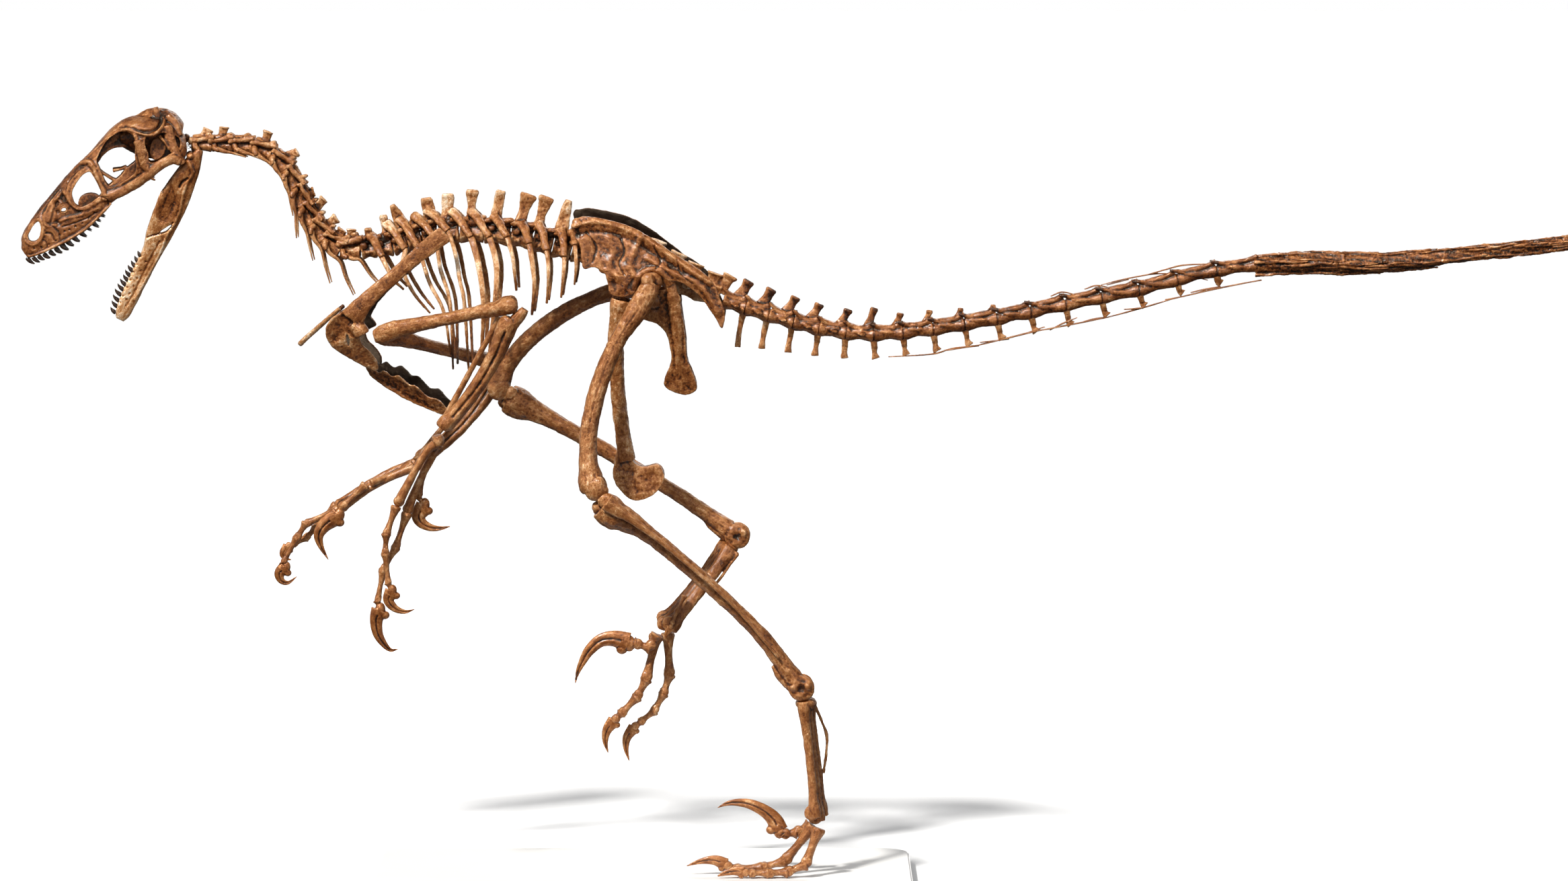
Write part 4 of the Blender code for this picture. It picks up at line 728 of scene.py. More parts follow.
def cast_ilium(label, side, lift):
    mesh = bmesh.new()
    outline = [(x, z + lift * min(1, max(0, (z - 375) / 25))) for x, z in ILIUM_OUTLINE]
    plate(mesh, outline, 2.8, lambda x, z: side * (12.5 + 5.5 * min(1, max(0, (405 - z) / 30))))
    rim = ((-5, side * 17.4, 368, 2.4, 2.2), (-1.5, side * 18.0, 375, 2.4, 2.2),
           (6, side * 18.2, 379.5, 2.4, 2.0),
           (13, side * 17.6, 377, 2.4, 2.2), (18, side * 16.9, 372.5, 2.2, 2.4))
    limb(mesh, rim, steps=4, sides=10)
    peduncle = ((-12, side * 17, 376, 3.0, 6.4), (-12, side * 16.8, 368, 3.4, 7),
                (-12, side * 16, 363.5, 3.2, 6.6))
    limb(mesh, peduncle, steps=3, sides=12)
    limb(mesh, ((16, side * 16.6, 374, 2.4, 3.2), (18.5, side * 16.4, 369.5, 2.4, 3.6)), steps=2, sides=10)
    knob(mesh, Vector((-39, side * 13, 407 + lift)), (3.2, 2.4, 3.6))
    knob(mesh, Vector((-21, side * 17, 379)), (4.4, 2.0, 2.6))

    def ridges(spots, normals):
        flat = spots[:, (0, 2)]
        return relief(flat, ILIUM_RIDGES, ILIUM_HOLLOWS) * np.clip(normals[:, 1] * side * 3 - 0.4, 0, 1)

    # Painted shade on the blade's face towards the body, deepest on the far blade; paler along the upper
    # rim and at the front hook; slightly darker overall.
    def stain_and_shade(spots, normals):
        inner_face_shade = np.clip(-normals[:, 1] * side * 2 - 0.3, 0, 1)
        lip = np.clip((line_distance(spots[:, (0, 2)], smooth_line(ILIUM_RIDGES[0][0], 4)) - 3) / -3, 0, 1)
        hook = near_spot(spots[:, (0, 2)], (-25, 381), 4)
        return 0.10 * lip + 0.20 * hook - 0.07 - (0.75 if side > 0 else 0.3) * inner_face_shade

    cast_bone(f"{label}_ilium", mesh, f"ilium_{label}", grain=0.48, lumps=1.1, creases=0.25, carve=ridges,
              soften=4, along=(1, 0, -0.4), tone=stain_and_shade, finish=GLOSSY_RESIN if side < 0 else FAR_SIDE_SHADE_RESIN)


def cast_pubis(label, side):
    mesh = bmesh.new()
    rows = ((-11.5, side * 15.5, 360.5, 3.2, 6.6), (-12.4, side * 15.2, 357, 3.6, 6.8),
            (-13.5, side * 14.5, 352, 3.2, 5.8),
            (-15.8, side * 12.5, 337, 3.0, 4.6), (-15.3, side * 9.5, 318, 2.8, 4.2),
            (-14.2, side * 6.6, 298, 2.6, 4.4), (-11.5, side * 4.4, 276, 2.5, 4.6),
            (-9.5, side * 3.6, 262, 2.4, 5.6))
    limb(mesh, rows, steps=5, sides=14)
    boot = ((-8.9, 268), (-4.5, 260.5), (2, 258.5), (10, 259.5), (13.6, 251.5), (8.5, 242.5), (-1.5, 237.6),
            (-10, 240.5), (-17.6, 251), (-16.5, 262), (-14, 270))
    plate(mesh, boot, 4.2, lambda x, z: side * 2.9)
    # The far pubis is made darker than the near one, as painted shade.
    cast_bone(f"{label}_pubis", mesh, f"pubis_{label}", grain=0.48, along=(0, 0, 1), lumps=1.2, creases=0.3,
              tone=0.05 if side < 0 else -0.12, finish=GLOSSY_RESIN)


def cast_ischium(label, side):
    mesh = bmesh.new()
    outline = ((7, 366), (14, 367), (23, 364), (24.3, 355), (26, 345), (27, 335), (27.6, 325),
               (31.6, 314.5),
               (33.4, 306.5), (28.5, 302.3), (20.5, 303.6), (14, 307.5), (14, 313), (18, 323),
               (17.3, 331.5), (15, 340), (9.5, 346), (1.2, 348.8), (2, 355), (6, 360))
    plate(mesh, outline, 3.0, lambda x, z: side * (15.5 - 0.17 * (366 - z)))
    neck = ((17.6, side * 15.6, 370.5, 2.4, 3.6), (18.6, side * 15.4, 364, 2.2, 4.0),
            (20.4, side * 14.4, 354, 2.2, 4.4),
            (21.8, side * 12.6, 342, 2.0, 3.6), (22.6, side * 10, 328, 1.8, 3.0),
            (23.4, side * 8.4, 319, 1.2, 3.4), (23.8, side * 7.4, 313, 0.6, 3.0))
    limb(mesh, neck, steps=4, sides=12)
    knob(mesh, Vector((8, side * 15.4, 360)), (3.6, 2.4, 4.2))
    # The far ischium is made darker than the near one, as painted shade.
    cast_bone(f"{label}_ischium", mesh, f"ischium_{label}", grain=0.48, along=(0.2, 0, 1), lumps=1.1,
              creases=0.25, finish=GLOSSY_RESIN, tone=0.0 if side < 0 else -0.15)


for label, side in (("left", -1), ("right", 1)):
    cast_ilium(label, side, 4.0 if side > 0 else 0.0)
    cast_pubis(label, side)
    cast_ischium(label, side)

# ---- Sacrum and tail ----
# Six fused hip vertebrae lie between the blades, then twenty-eight tail bones that grow longer and
# thinner backwards. Thin bony rods, cast with each bone, overlap along the rear half and stiffen it.


class Column:
    """A smooth (x, z) centre line that can be asked for a place and direction at a distance."""

    def __init__(self, line):
        self.points = smooth_line(line, 10)
        steps = np.linalg.norm(np.diff(self.points, axis=0), axis=1)
        self.run = np.concatenate([[0], np.cumsum(steps)])
        self.length = self.run[-1]

    def at(self, distance):
        x = np.interp(distance, self.run, self.points[:, 0])
        z = np.interp(distance, self.run, self.points[:, 1])
        return x, z

    def distance(self, x):
        return float(np.interp(x, self.points[:, 0], self.run))

    def tilt(self, distance):
        x0, z0 = self.at(distance - 3)
        x1, z1 = self.at(distance + 3)
        return math.atan2(z1 - z0, x1 - x0)

    def frame(self, distance):
        """A function from (along, y, up) to a place, seated at the distance."""
        x, z = self.at(distance)
        tilt = self.tilt(distance)
        cos, sin = math.cos(tilt), math.sin(tilt)
        return lambda a, y, b: Vector((x + a * cos - b * sin, y, z + a * sin + b * cos))


def part(mesh, frame, *rows, steps=3, sides=12, **how):
    """Limb through rows of (along, y, up, half width, half depth) in a bone's own frame."""
    limb(mesh, [(*frame(a, y, b), side, deep) for a, y, b, side, deep in rows], steps=steps, sides=sides,
         **how)


def spool(mesh, frame, half, radius, waist=0.74):
    """Body of a vertebra: two flared rims and a pinched waist."""
    part(mesh, frame, (-half, 0, 0, radius * 0.86, radius * 0.86),
         (-half + 0.5, 0, 0, radius * 1.02, radius * 1.02),
         (-half * 0.62, 0, 0, radius * 0.9, radius * 0.92),
         (0, 0, 0.3, radius * waist, radius * (waist + 0.04)),
         (half * 0.62, 0, 0, radius * 0.9, radius * 0.92), (half - 0.5, 0, 0, radius * 1.02, radius * 1.02),
         (half, 0, 0, radius * 0.86, radius * 0.86), steps=2, sides=16)


def spine_blade(mesh, frame, low, top, half, lean, width=1.2, flare=1.12):
    """Neural spine: a thin upright blade with a swollen upper edge."""
    part(mesh, frame, (0, 0, low, width * 1.1, half * 0.94),
         (lean * 0.4, 0, low + (top - low) * 0.4, width * 0.8, half * 0.86),
         (lean * 0.78, 0, low + (top - low) * 0.78, width * 0.9, half * 0.95),
         (lean * 0.95, 0, low + (top - low) * 0.93, width * 1.35, half * flare),
         (lean, 0, top, width * 1.1, half * flare * 0.94), sides=14, square=1.6)


SACRUM_LINE = ((-29.5, 386), (-14, 383), (4, 376.5), (24, 367.5), (46.5, 359.5))


def cast_sacrum():
    column = Column(SACRUM_LINE)
    mesh = bmesh.new()
    pace = column.length / 6
    for step in range(6):
        frame = column.frame((step + 0.5) * pace)
        radius = 5.6 - 0.16 * step
        half = (pace + (0.8 if step < 5 else -0.7)) / 2
        spool(mesh, frame, half, radius, 0.8)
        part(mesh, frame, (-half, 0, radius * 1.5, 2.6, 2.4), (half, 0, radius * 1.5, 2.6, 2.4), steps=2,
             sides=10)
        top = radius * 2 + (10.5 - 1.3 * step if step < 2 else 13.2 - 1.5 * step)
        spine_blade(mesh, frame, radius * 1.5, top, 4.4, 0, 1.9, 1.2)
        for side in (-1, 1):
            part(mesh, frame, (0, side * 2, 4, half * 0.5, 2.2), (0, side * 6, 3.6, half * 0.4, 1.8),
                 (0, side * 10.4, 3.2, half * 0.62, 2.4), across=(1, 0, 0), sides=10)
    last = column.frame(column.length - 1)
    spine_blade(mesh, last, 5, 17.0, 3.9, 3.2, 1.6, 1.25)

    def stain_and_shade(spots, normals):
        line = np.interp(spots[:, 0], [x for x, _ in SACRUM_LINE], [z for _, z in SACRUM_LINE])
        front = (spots[:, 2] < line + 4) & (spots[:, 0] > 15)
        return 0.10 + 0.14 * front + 0.10 * (spots[:, 2] > line + 17)

    cast_bone("sacrum", mesh, "sacrum", slot="restored_bone", grain=0.46, along=(1, 0, -0.4), tone=stain_and_shade,
              lumps=1.0, creases=0.4)


cast_sacrum()

TAIL_LINE = ((49, 359), (78, 350), (106, 342.5), (140, 338.5), (176, 341.5), (216, 348),
             (258, 356.5), (302, 365.5), (347, 376.5), (395, 382), (450, 382.5), (500, 387.5),
             (563, 394.5), (620, 402), (672, 409))
# The bones of the tail, and those in front that aren't lost in the bundle of rods.
TAIL_BONES = 28
FREE_BONES = 17
TAIL_GROUPS = (("tail_root", 0, 7), ("tail_front", 7, 13), ("tail_rear", 13, 20),
               ("tail_tip", 20, TAIL_BONES))


def tail_joint(count):
    """x of the joint in front of a tail bone."""
    return 49.3 + 13.6 * count + 0.345 * count * (count - 1)


TAIL_SPINES = (17.0, 16.4, 15.9, 15.4, 14.8, 16.9, 12.8, 12.2, 10.8, 9.3)


def draw_tail_bone(mesh, frame, half, radius, count):
    """Spool-shaped body, low arch, joint prongs that bridge the joint in front, and a spine."""
    spool(mesh, frame, half, radius, 0.72)
    fade = max(0.0, 1 - count / FREE_BONES)
    late = min(1.0, max(0.0, (count - 5) / 4))
    part(mesh, frame, (-half * 0.9, 0, radius * 1.1, radius * 0.62, 1.7 + fade),
         (0, 0, radius * (0.75 + 0.3 * late), radius * 0.74, 1.8 + fade),
         (half * 0.95, 0, radius * 1.2, radius * 0.5, 1.6 + 0.5 * fade))
    if count < 10:
        top = TAIL_SPINES[count]
        width, base = 3.7 - 0.22 * count, 0.42 if count < 4 else 0.7
        part(mesh, frame, (half * (base - 0.25), 0, radius * 0.9, 1.5, width * 1.25),
             (half * base, 0, (radius + top) * 0.48, 1.0, width * 0.86),
             (half * (base + 0.1), 0, top * 0.8, 1.0, width * 0.84),
             (half * (base + 0.17), 0, top - 1.2, 1.5, width),
             (half * (base + 0.2), 0, top, 1.1, width * 0.84), sides=14, square=1.4)
    elif count < 14:
        part(mesh, frame, (half * 0.35, 0, radius * 0.8, 1.2, 2.6),
             (half * 0.8, 0, radius * 1.45, 1.0, 1.9), (half * 0.98, 0, radius * 1.75, 0.8, 1.0))
    for side in (-1, 1):
        part(mesh, frame, (-half * 0.35, side * 1.4, radius * 0.75, 1.5, 1.4),
             (-half * 0.9, side * 2.2, radius * 1.4, 1.1, 1.3),
             (-half * 1.26, side * 2.4, radius * 1.62 + 0.5, 0.9, 1.0), sides=10)
        part(mesh, frame, (half * 0.4, side * 1.2, radius * 1.1, 1.2, 1.3),
             (half * 1.05, side * 1.8, radius * 1.55 + 0.5, 0.9, 1.1), steps=2, sides=10)
        knob(mesh, frame(-half * 0.1, side * radius * 0.66, radius * 0.35), (half * 0.62, 0.9, 1.5))
    if count < 6:
        for side in (-1, 1):
            part(mesh, frame, (0, side * 2, 1.2, 2.6, 1.5), (1, side * (7 - 0.6 * count), 0.6, 2.0, 0.9),
                 (1.6, side * (11.4 - count), 0.2, 1.8, 0.8), across=(1, 0, 0), sides=10)


def draw_chevron(mesh, frame, half, radius, count):
    """The forked bone that hangs below a joint, its foot drawn out backwards."""
    drop = 12 + 12 * math.exp((1 - count) / 3) - 1.1 * max(0, count - 12)
    sled = 2.0 + 0.12 * min(count, 10) - 0.12 * max(0, count - 11)
    lean = 3.4 - 0.9 * min(count, 4)
    for side in (-1, 1):
        part(mesh, frame, (-half - 0.2, side * 1.5, -radius * 0.7, 0.9, 2.3),
             (-half, side * 1.0, -radius - 2.2, 0.8, 1.9), (-half + 0.3, 0, -radius - 4.2, 0.8, 1.7),
             sides=10)
    part(mesh, frame, (-half, 0, -radius - 2.4, 1.2, 1.9),
         (-half + lean * 0.4, 0, -(radius + drop) * 0.55, 1.0, 1.7),
         (-half + lean * 0.8 + 0.05 * count, 0, -drop * 0.88, 1.1, 1.9 + (sled - 2.0) * 0.5),
         (-half + lean + 0.12 * count, 0, -drop, 1.0, sled), steps=4)


# Half height of the bundle of rods along the rear of the tail.
BUNDLE_X = (363, 374, 400, 450, 500, 530, 563, 620, 672)
BUNDLE_TALL = (5.0, 6.8, 6.9, 6.4, 5.2, 5.0, 4.6, 2.6, 1.4)


def draw_bundle(mesh, frame, half, x, count):
    """A tail bone lost among the overlapping rods of its neighbours."""
    tall = float(np.interp(x, BUNDLE_X, BUNDLE_TALL))
    rows = [(half * share, 0.0, 0.3 * math.sin(count * 1.7 + share * 2), tall * 0.52,
             tall * 0.78) for share in (-1.1, -0.4, 0.3, 1.1)]
    part(mesh, frame, *rows, sides=14)
    for lane in range(21):
        turn = math.tau * lane / 21 + 0.5 * math.sin(lane * 5.1 + count)
        reach = 0.74 + 0.24 * math.sin(lane * 3.7 + count * 2.9)
        start = -1.15 - 0.9 * abs(math.sin(lane * 2.3 + count * 1.3)) * (count > FREE_BONES)
        end = 0.9 + 0.5 * math.sin(lane * 1.9 + count * 0.7)
        thick = (0.07 + 0.03 * math.sin(lane * 4.4 + count)) * tall + 0.26
        rows = []
        for share in (0, 0.33, 0.66, 1):
            sway = 0.16 * math.sin(share * 5 + lane * 2.2 + count)
            rows.append((half * (start + (end - start) * share),
                         math.cos(turn + sway) * tall * 0.62 * reach,
                         math.sin(turn + sway) * tall * reach, thick,
                         thick * (1.25 if share in (0.33, 0.66) else 0.7)))
        part(mesh, frame, *rows, sides=8)


def cast_tail():
    column = Column(TAIL_LINE)
    for group, first, last in TAIL_GROUPS:
        for count in range(first, last):
            start, end = column.distance(tail_joint(count)), column.distance(tail_joint(count + 1))
            middle = (start + end) / 2
            frame = column.frame(middle)
            half = (end - start) / 2 + 0.1
            free = count < FREE_BONES
            radius = 4.6 - 0.055 * count
            tilt = column.tilt(middle)
            way = (math.cos(tilt), 0, math.sin(tilt))
            mesh = bmesh.new()
            if free:
                draw_tail_bone(mesh, frame, half, radius, count)
            else:
                draw_bundle(mesh, frame, half, float(column.at(middle)[0]), count)

            def stain_and_shade(spots, normals, x0=float(column.at(middle)[0]), joint=half * 0.97, count=count):
                """Dark seams at the joints of the freer bones."""
                seam = np.clip((np.abs(spots[:, 0] - x0) - joint + 1.2) / 1.2, 0, 1)
                if count < FREE_BONES:
                    return -0.04 - 0.32 * seam - 0.08 * (count > 7)
                return 0.14 * np.sin(spots[:, 0] * 0.31 + spots[:, 2] * 1.9) - 0.12

            cast_bone(f"tail_bone_{count + 1:02d}", mesh, group, grain=0.4 if count < 20 else 0.34,
                      along=way, creases=0.4 if free else 0.7, lumps=0.7 if free else 1.2, tone=stain_and_shade,
                      soften=3 if free else 1, finish=GLOSSY_RESIN)
            if free and count > 0:
                mesh = bmesh.new()
                draw_chevron(mesh, frame, half, radius, count)
                cast_bone(f"chevron_{count:02d}", mesh, group, grain=0.36, along=(0, 0, 1), creases=0.35,
                          lumps=0.8, tone=0.03)


# Loose rods above and below the middle of the tail: (group, strands of (x, z)).
RODS = {
    "rods_front": ("tail_front", (
        ((150, 325.1), (176.7, 326.8), (188.4, 330.1), (205.2, 332.3)),
        ((185, 328.9), (196, 330.8), (205.2, 331.8)),
        ((203, 331.8), (217, 335.2), (237.2, 340.2), (246, 342)),
        ((205.7, 333.9), (214, 334.8), (223.7, 336)),
        ((235.5, 340.2), (245.3, 343.5)), ((239, 340.6), (259, 344.4), (284.3, 349.4)),
        ((248.1, 341.3), (256, 345.4), (265, 349.1)),
        ((268.8, 346.6), (276, 348.4), (284.3, 349.4)), ((269.1, 366.3), (276.7, 368.6), (285, 367.1)),
        ((248.6, 362), (255.6, 364.6), (264, 362.9)))),
    "rods_rear": ("tail_rear", (
        ((280, 348.4), (293, 351.8), (308, 356), (325.5, 361.2)),
        ((293.3, 354), (301, 354.6), (308.3, 356)),
        ((322, 360.2), (347.8, 366.3), (377, 372)), ((318.3, 360), (330.6, 362.4)),
        ((333.7, 364.3), (343, 366.4), (352, 368)),
        ((362, 369.4), (376.6, 371.7)), ((279.2, 368.9), (289.5, 371.5), (299.8, 373.7), (313.5, 375.8),
                                         (330.6, 374.9), (344.3, 371.8)),
        ((306.6, 374.9), (318.6, 378.3), (328.9, 380.9), (346, 381.8)), ((282.6, 368.9), (296.3, 372.3)))),
}
for name, (group, strands) in RODS.items():
    mesh = bmesh.new()
    for count, strand in enumerate(strands):
        for side in (-1, 1):
            rows = [(x, side * (1.0 + 0.5 * (count % 3)), z, 0.46, 0.46) for x, z in strand]
            rows[0], rows[-1] = (*rows[0][:3], 0.3, 0.3), (*rows[-1][:3], 0.3, 0.3)
            limb(mesh, rows, steps=5, sides=8)
    cast_bone(name, mesh, group, grain=0.28, creases=0.1, lumps=0.2, tone=-0.12, along=(1, 0, 0.2),
              soften=1)

cast_tail()

# ---- Back and ribs ----
# Twelve back vertebrae stand close together, each with a tall square spine and two sloping wings that
# carry the ribs. The paler spines are modelled restorations; the ribs are thin curved rods.

BACK_LINE = ((-166, 389.5), (-152, 391.5), (-137, 395.5), (-122, 399), (-104, 400), (-88, 399),
             (-72.5, 396.5), (-61, 393.5), (-49, 390.5), (-36, 387.5))
BACK_X = (-165.6, -155.7, -146.3, -137.7, -128.7, -117.7, -103.3, -87.8, -72.3, -61.0, -47.4, -38.0)
# Per spine: rise above the arch, half length at the top and at the foot, forward lean, paleness.
BACK_SPINES = ((4.2, 2.4, 2.8, 0, 0.05), (10.6, 2.7, 2.6, 0, 0.26), (14.9, 2.0, 4.2, -2.4, 0.04),
               (4.5, 1.8, 3.2, 0, 0.0), (13.4, 3.6, 4.6, 0.2, 0.14), (14.1, 3.8, 4.4, 0.6, 0.3),
               (15.7, 3.9, 2.9, 0.4, 0.2), (16.1, 3.1, 3.6, 1.2, 0.22), (16.3, 5.2, 3.4, 1.6, 0.04),
               (17.3, 4.8, 3.2, 0.6, 0.06), (18.6, 2.5, 4.2, 0.6, 0.16), (9.0, 2.6, 3.0, 0, 0.05))
# Per vertebra: where its wing starts and ends, then the way of its rib, as (x, z).
WINGS = (((-164, 402), (-156.5, 386)), ((-154, 409.4), (-142.5, 391)), ((-146, 412), (-134, 391)),
         ((-137.5, 414), (-123.5, 397)), ((-129.5, 417), (-116.6, 402)), ((-114.6, 416.8), (-102.6, 398)),
         ((-102.6, 416.8), (-91.6, 398)), ((-88.8, 413.6), (-80.8, 398)), ((-72.2, 409.4), (-67.6, 394)),
         ((-61.6, 409.4), (-57.1, 390)), ((-48.2, 405.3), (-46.5, 386)), ((-41, 404), (-40, 393)))
RIBS = (((-156.5, 386), (-150, 374), (-143.5, 367)),
        ((-142.5, 391), (-144, 379.5), (-137, 365), (-127.4, 352.9)),
        ((-134, 391), (-127.5, 371.5), (-118.9, 354.5), (-114.8, 327.9)),
        ((-123.5, 397), (-121.3, 380.8), (-116, 364.4), (-114.2, 350), (-113.6, 319)),
        ((-116.6, 402), (-112, 388.9), (-109.1, 372.6), (-106.3, 358.2), (-104.2, 319)),
        ((-102.6, 398), (-98.1, 382.8), (-94.9, 360.3), (-96.1, 331.6)),
        ((-91.6, 398), (-88, 386.9), (-86.8, 376.6), (-87.6, 363.5), (-91.6, 329.9)),
        ((-80.8, 398), (-77.4, 386.9), (-76.2, 376.6), (-75.4, 366.4)),
        ((-67.6, 394), (-65.2, 380.8), (-64.4, 368.5), (-66, 351.6)),
        ((-57.1, 390), (-55.8, 376.6), (-57.1, 358.6)), ((-46.5, 386), (-46.8, 376), (-48.5, 361.9)),
        ((-40, 393), (-39.2, 380.7), (-40.4, 369.7)))
RIB_WIDTHS = (1.3, 1.2, 1.1, 1.1, 1.15, 1.65, 1.6, 1.25, 1.4, 1.15, 1.15, 1.1)


def draw_back_bone(mesh, frame, half, radius, shift, count):
    """Body, arch and joint lumps of one back vertebra; `shift` is the spine's place along it."""
    spool(mesh, frame, half, radius, 0.76)
    for spot, size in ((-0.2, 1.5), (0.45, 1.2)):
        knob(mesh, frame(half * spot, -radius * 0.5, -radius * 0.1), (1.8, radius * 0.5, size))
    part(mesh, frame, (-half, 0, radius * 1.35, radius * 0.56, 2.4),
         (0, 0, radius * 1.25, radius * 0.66, 3.6), (half, 0, radius * 1.45, radius * 0.56, 2.6), sides=14)
    rise, top, foot, lean, _ = BACK_SPINES[count]
    base, crown = radius * 1.4, radius * 2 + rise
    part(mesh, frame, (shift, 0, base, 2.6, foot * 1.45), (shift, 0, base + 2.6, 1.7, foot * 1.1),
         (shift + lean * 0.3, 0, base + (crown - base) * 0.42, 1.15, foot * 0.9),
         (shift + lean * 0.7, 0, base + (crown - base) * 0.72, 1.2, (foot + top) * 0.47),
         (shift + lean, 0, crown - 1.6, 1.9, top), (shift + lean * 1.15, 0, crown, 1.5, top * 0.84),
         steps=4, sides=16, square=1.6)
    for side in (-1, 1):
        for reach in (-1, 1):
            part(mesh, frame, (half * 0.3 * reach, side * 2.0, radius * 1.6, 2.2, 1.9),
                 (half * 0.95 * reach, side * 3.0, radius * (1.62 + 0.14 * reach), 1.8, 1.7),
                 (half * 1.2 * reach, side * 3.0, radius * (1.58 + 0.18 * reach), 1.2, 1.2), steps=2)
        knob(mesh, frame(-half * 0.5, side * radius * 0.85, radius * 0.75), (2.4, 1.6, 2.0))


def cast_back():
    column = Column(BACK_LINE)
    places = [column.distance(x) for x in BACK_X]
    joints = [places[0] * 1.5 - places[1] * 0.5] + [(a + b) / 2 for a, b in zip(places, places[1:])]
    joints.append(places[-1] * 1.5 - places[-2] * 0.5)
    for count, place in enumerate(places):
        centre = (joints[count] + joints[count + 1]) / 2
        half = (joints[count + 1] - joints[count] - 0.5) / 2
        share = count / 11
        radius = 5.0 + 1.1 * share
        frame = column.frame(centre)
        rise, _, _, lean, pale = BACK_SPINES[count]
        upright = (rise + radius * 2) * math.tan(column.tilt(centre))
        mesh = bmesh.new()
        draw_back_bone(mesh, frame, half, radius, place - centre + upright * 0.6, count)
        (x0, z0), (x1, z1) = WINGS[count]
        wing = 15.0 - 1.5 * share
        for side in (-1, 1):
            rows = ((x0 - 1.2, side * 2.2, z0 - 2.5, 3.2, 2.2),
                    (x0 + (x1 - x0) * 0.35, side * wing * 0.5, z0 * 0.6 + z1 * 0.4, 2.7, 1.9),
                    (x0 + (x1 - x0) * 0.7, side * wing * 0.85, z0 * 0.28 + z1 * 0.72, 2.3, 1.7),
                    (x1, side * wing, z1 + 0.8, 2.2, 1.6))
            limb(mesh, rows, across=(1, 0, 0), steps=4, sides=14, square=1.2)
        middle, top = column.at(centre)

        # Paler tops on the restored spines; painted shadow on the arch's sides below the wings; the wings
        # slightly darker.
        def stain_and_shade(spots, normals, pale=pale, top=top, radius=radius):
            up = np.clip((spots[:, 2] - top - radius * 2.1) / 3, 0, 1)
            wing = np.clip((np.abs(spots[:, 1]) - 5.5) / 3, 0, 1)
            neck = np.exp(-((spots[:, 2] - top - radius * 1.0) / 3.6) ** 2) * (1 - wing)
            return 0.06 + (pale - 0.06) * up - 0.45 * neck - 0.08 * wing

        cast_bone(f"back_bone_{count + 1:02d}", mesh, "rib_cage_left", "rib_cage_right", grain=0.48,
                  along=(0.3, 0, 1), lumps=1.2, creases=0.5, tone=stain_and_shade, soften=2,
                  slot="restored_bone" if pale > 0.15 else "bone")


cast_back()


def cast_rib(label, side, count):
    """Rib from the wing's tip, out over the flank and in again towards the belly."""
    path, width = RIBS[count], RIB_WIDTHS[count]
    share = count / 11
    wing, bulge = 15.0 - 1.5 * share, 27.0 - 5.5 * share
    spots = np.array(path)
    run = np.concatenate([[0], np.cumsum(np.linalg.norm(np.diff(spots, axis=0), axis=1))])
    run /= run[-1]
    long = min(1.0, (path[0][1] - path[-1][1]) / 60)
    rows = [(path[0][0] - 2.6, side * (wing - 5.5), path[0][1] + 2.4, width * 1.2, 1.2)]
    for (x, z), part in zip(path, run):
        out = wing + (bulge - wing) * long * math.sin(min(1, part * 1.6) * math.pi / 2)
        out -= (bulge * 0.12) * max(0, part - 0.6) / 0.4
        thin = 1.3 - 0.65 * part ** 1.3
        rows.append((x, side * out, z, width * thin, 0.95 - 0.3 * part))
    mesh = bmesh.new()
    limb(mesh, rows, across=(1, 0, 0), steps=5, sides=12, square=1.2)
    top, drop = path[0][1], path[0][1] - path[-1][1]

    # Paler along the upper rib; painted shadow at the lower end, deepest on the fourth and ninth ribs; the
    # far ribs darker as painted shade.
    def stain_and_shade(spots, normals):
        part = np.clip((top - spots[:, 2]) / drop, 0, 1)
        dark = (-0.42 if count in (3, 8) else -0.16) * np.clip((part - 0.62) / 0.3, 0, 1)
        paler_upper = 0.22 * np.clip(1.2 - part, 0, 1) * np.clip(part * 5, 0.1, 1)
        return paler_upper + dark - (0.12 if side > 0 else 0)

    cast_bone(f"{label}_rib_{count + 1:02d}", mesh, f"rib_cage_{label}", grain=0.36, along=(0.2, 0, -1),
              lumps=0.5, creases=0.25, tone=stain_and_shade)


for count in range(12):
    cast_rib("left", -1, count)
    cast_rib("right", 1, count)

# ---- Neck ----
# Eleven short neck bones curve up to the skull in an S. Each has low paired joints above, a pair of
# long hair-thin ribs below, and hangs on the mount's rod, hidden in the canal.

NECK_LINE = ((-272.5, 453.5), (-262, 453), (-243, 452.5), (-231, 450), (-220, 442.5), (-211.5, 429),
             (-204.5, 412), (-194, 397.5), (-183.5, 390), (-171, 389))
NECK_BONES = 11
# Per bone: how far its small square spine rises, how far forwards it leans, and its paleness.
NECK_SPINES = ((3.4, 3.4, 0.16), (4.8, 1.2, 0.2), (0, 0, 0), (5.0, -1.0, 0.16), (5.0, 3.6, 0.14), (0, 0, 0),
               (1.4, 0, 0.05), (5.4, -3.6, 0.22), (4.8, 0.8, 0.22), (1.8, 0, 0.1), (3.2, 0.5, 0.12))


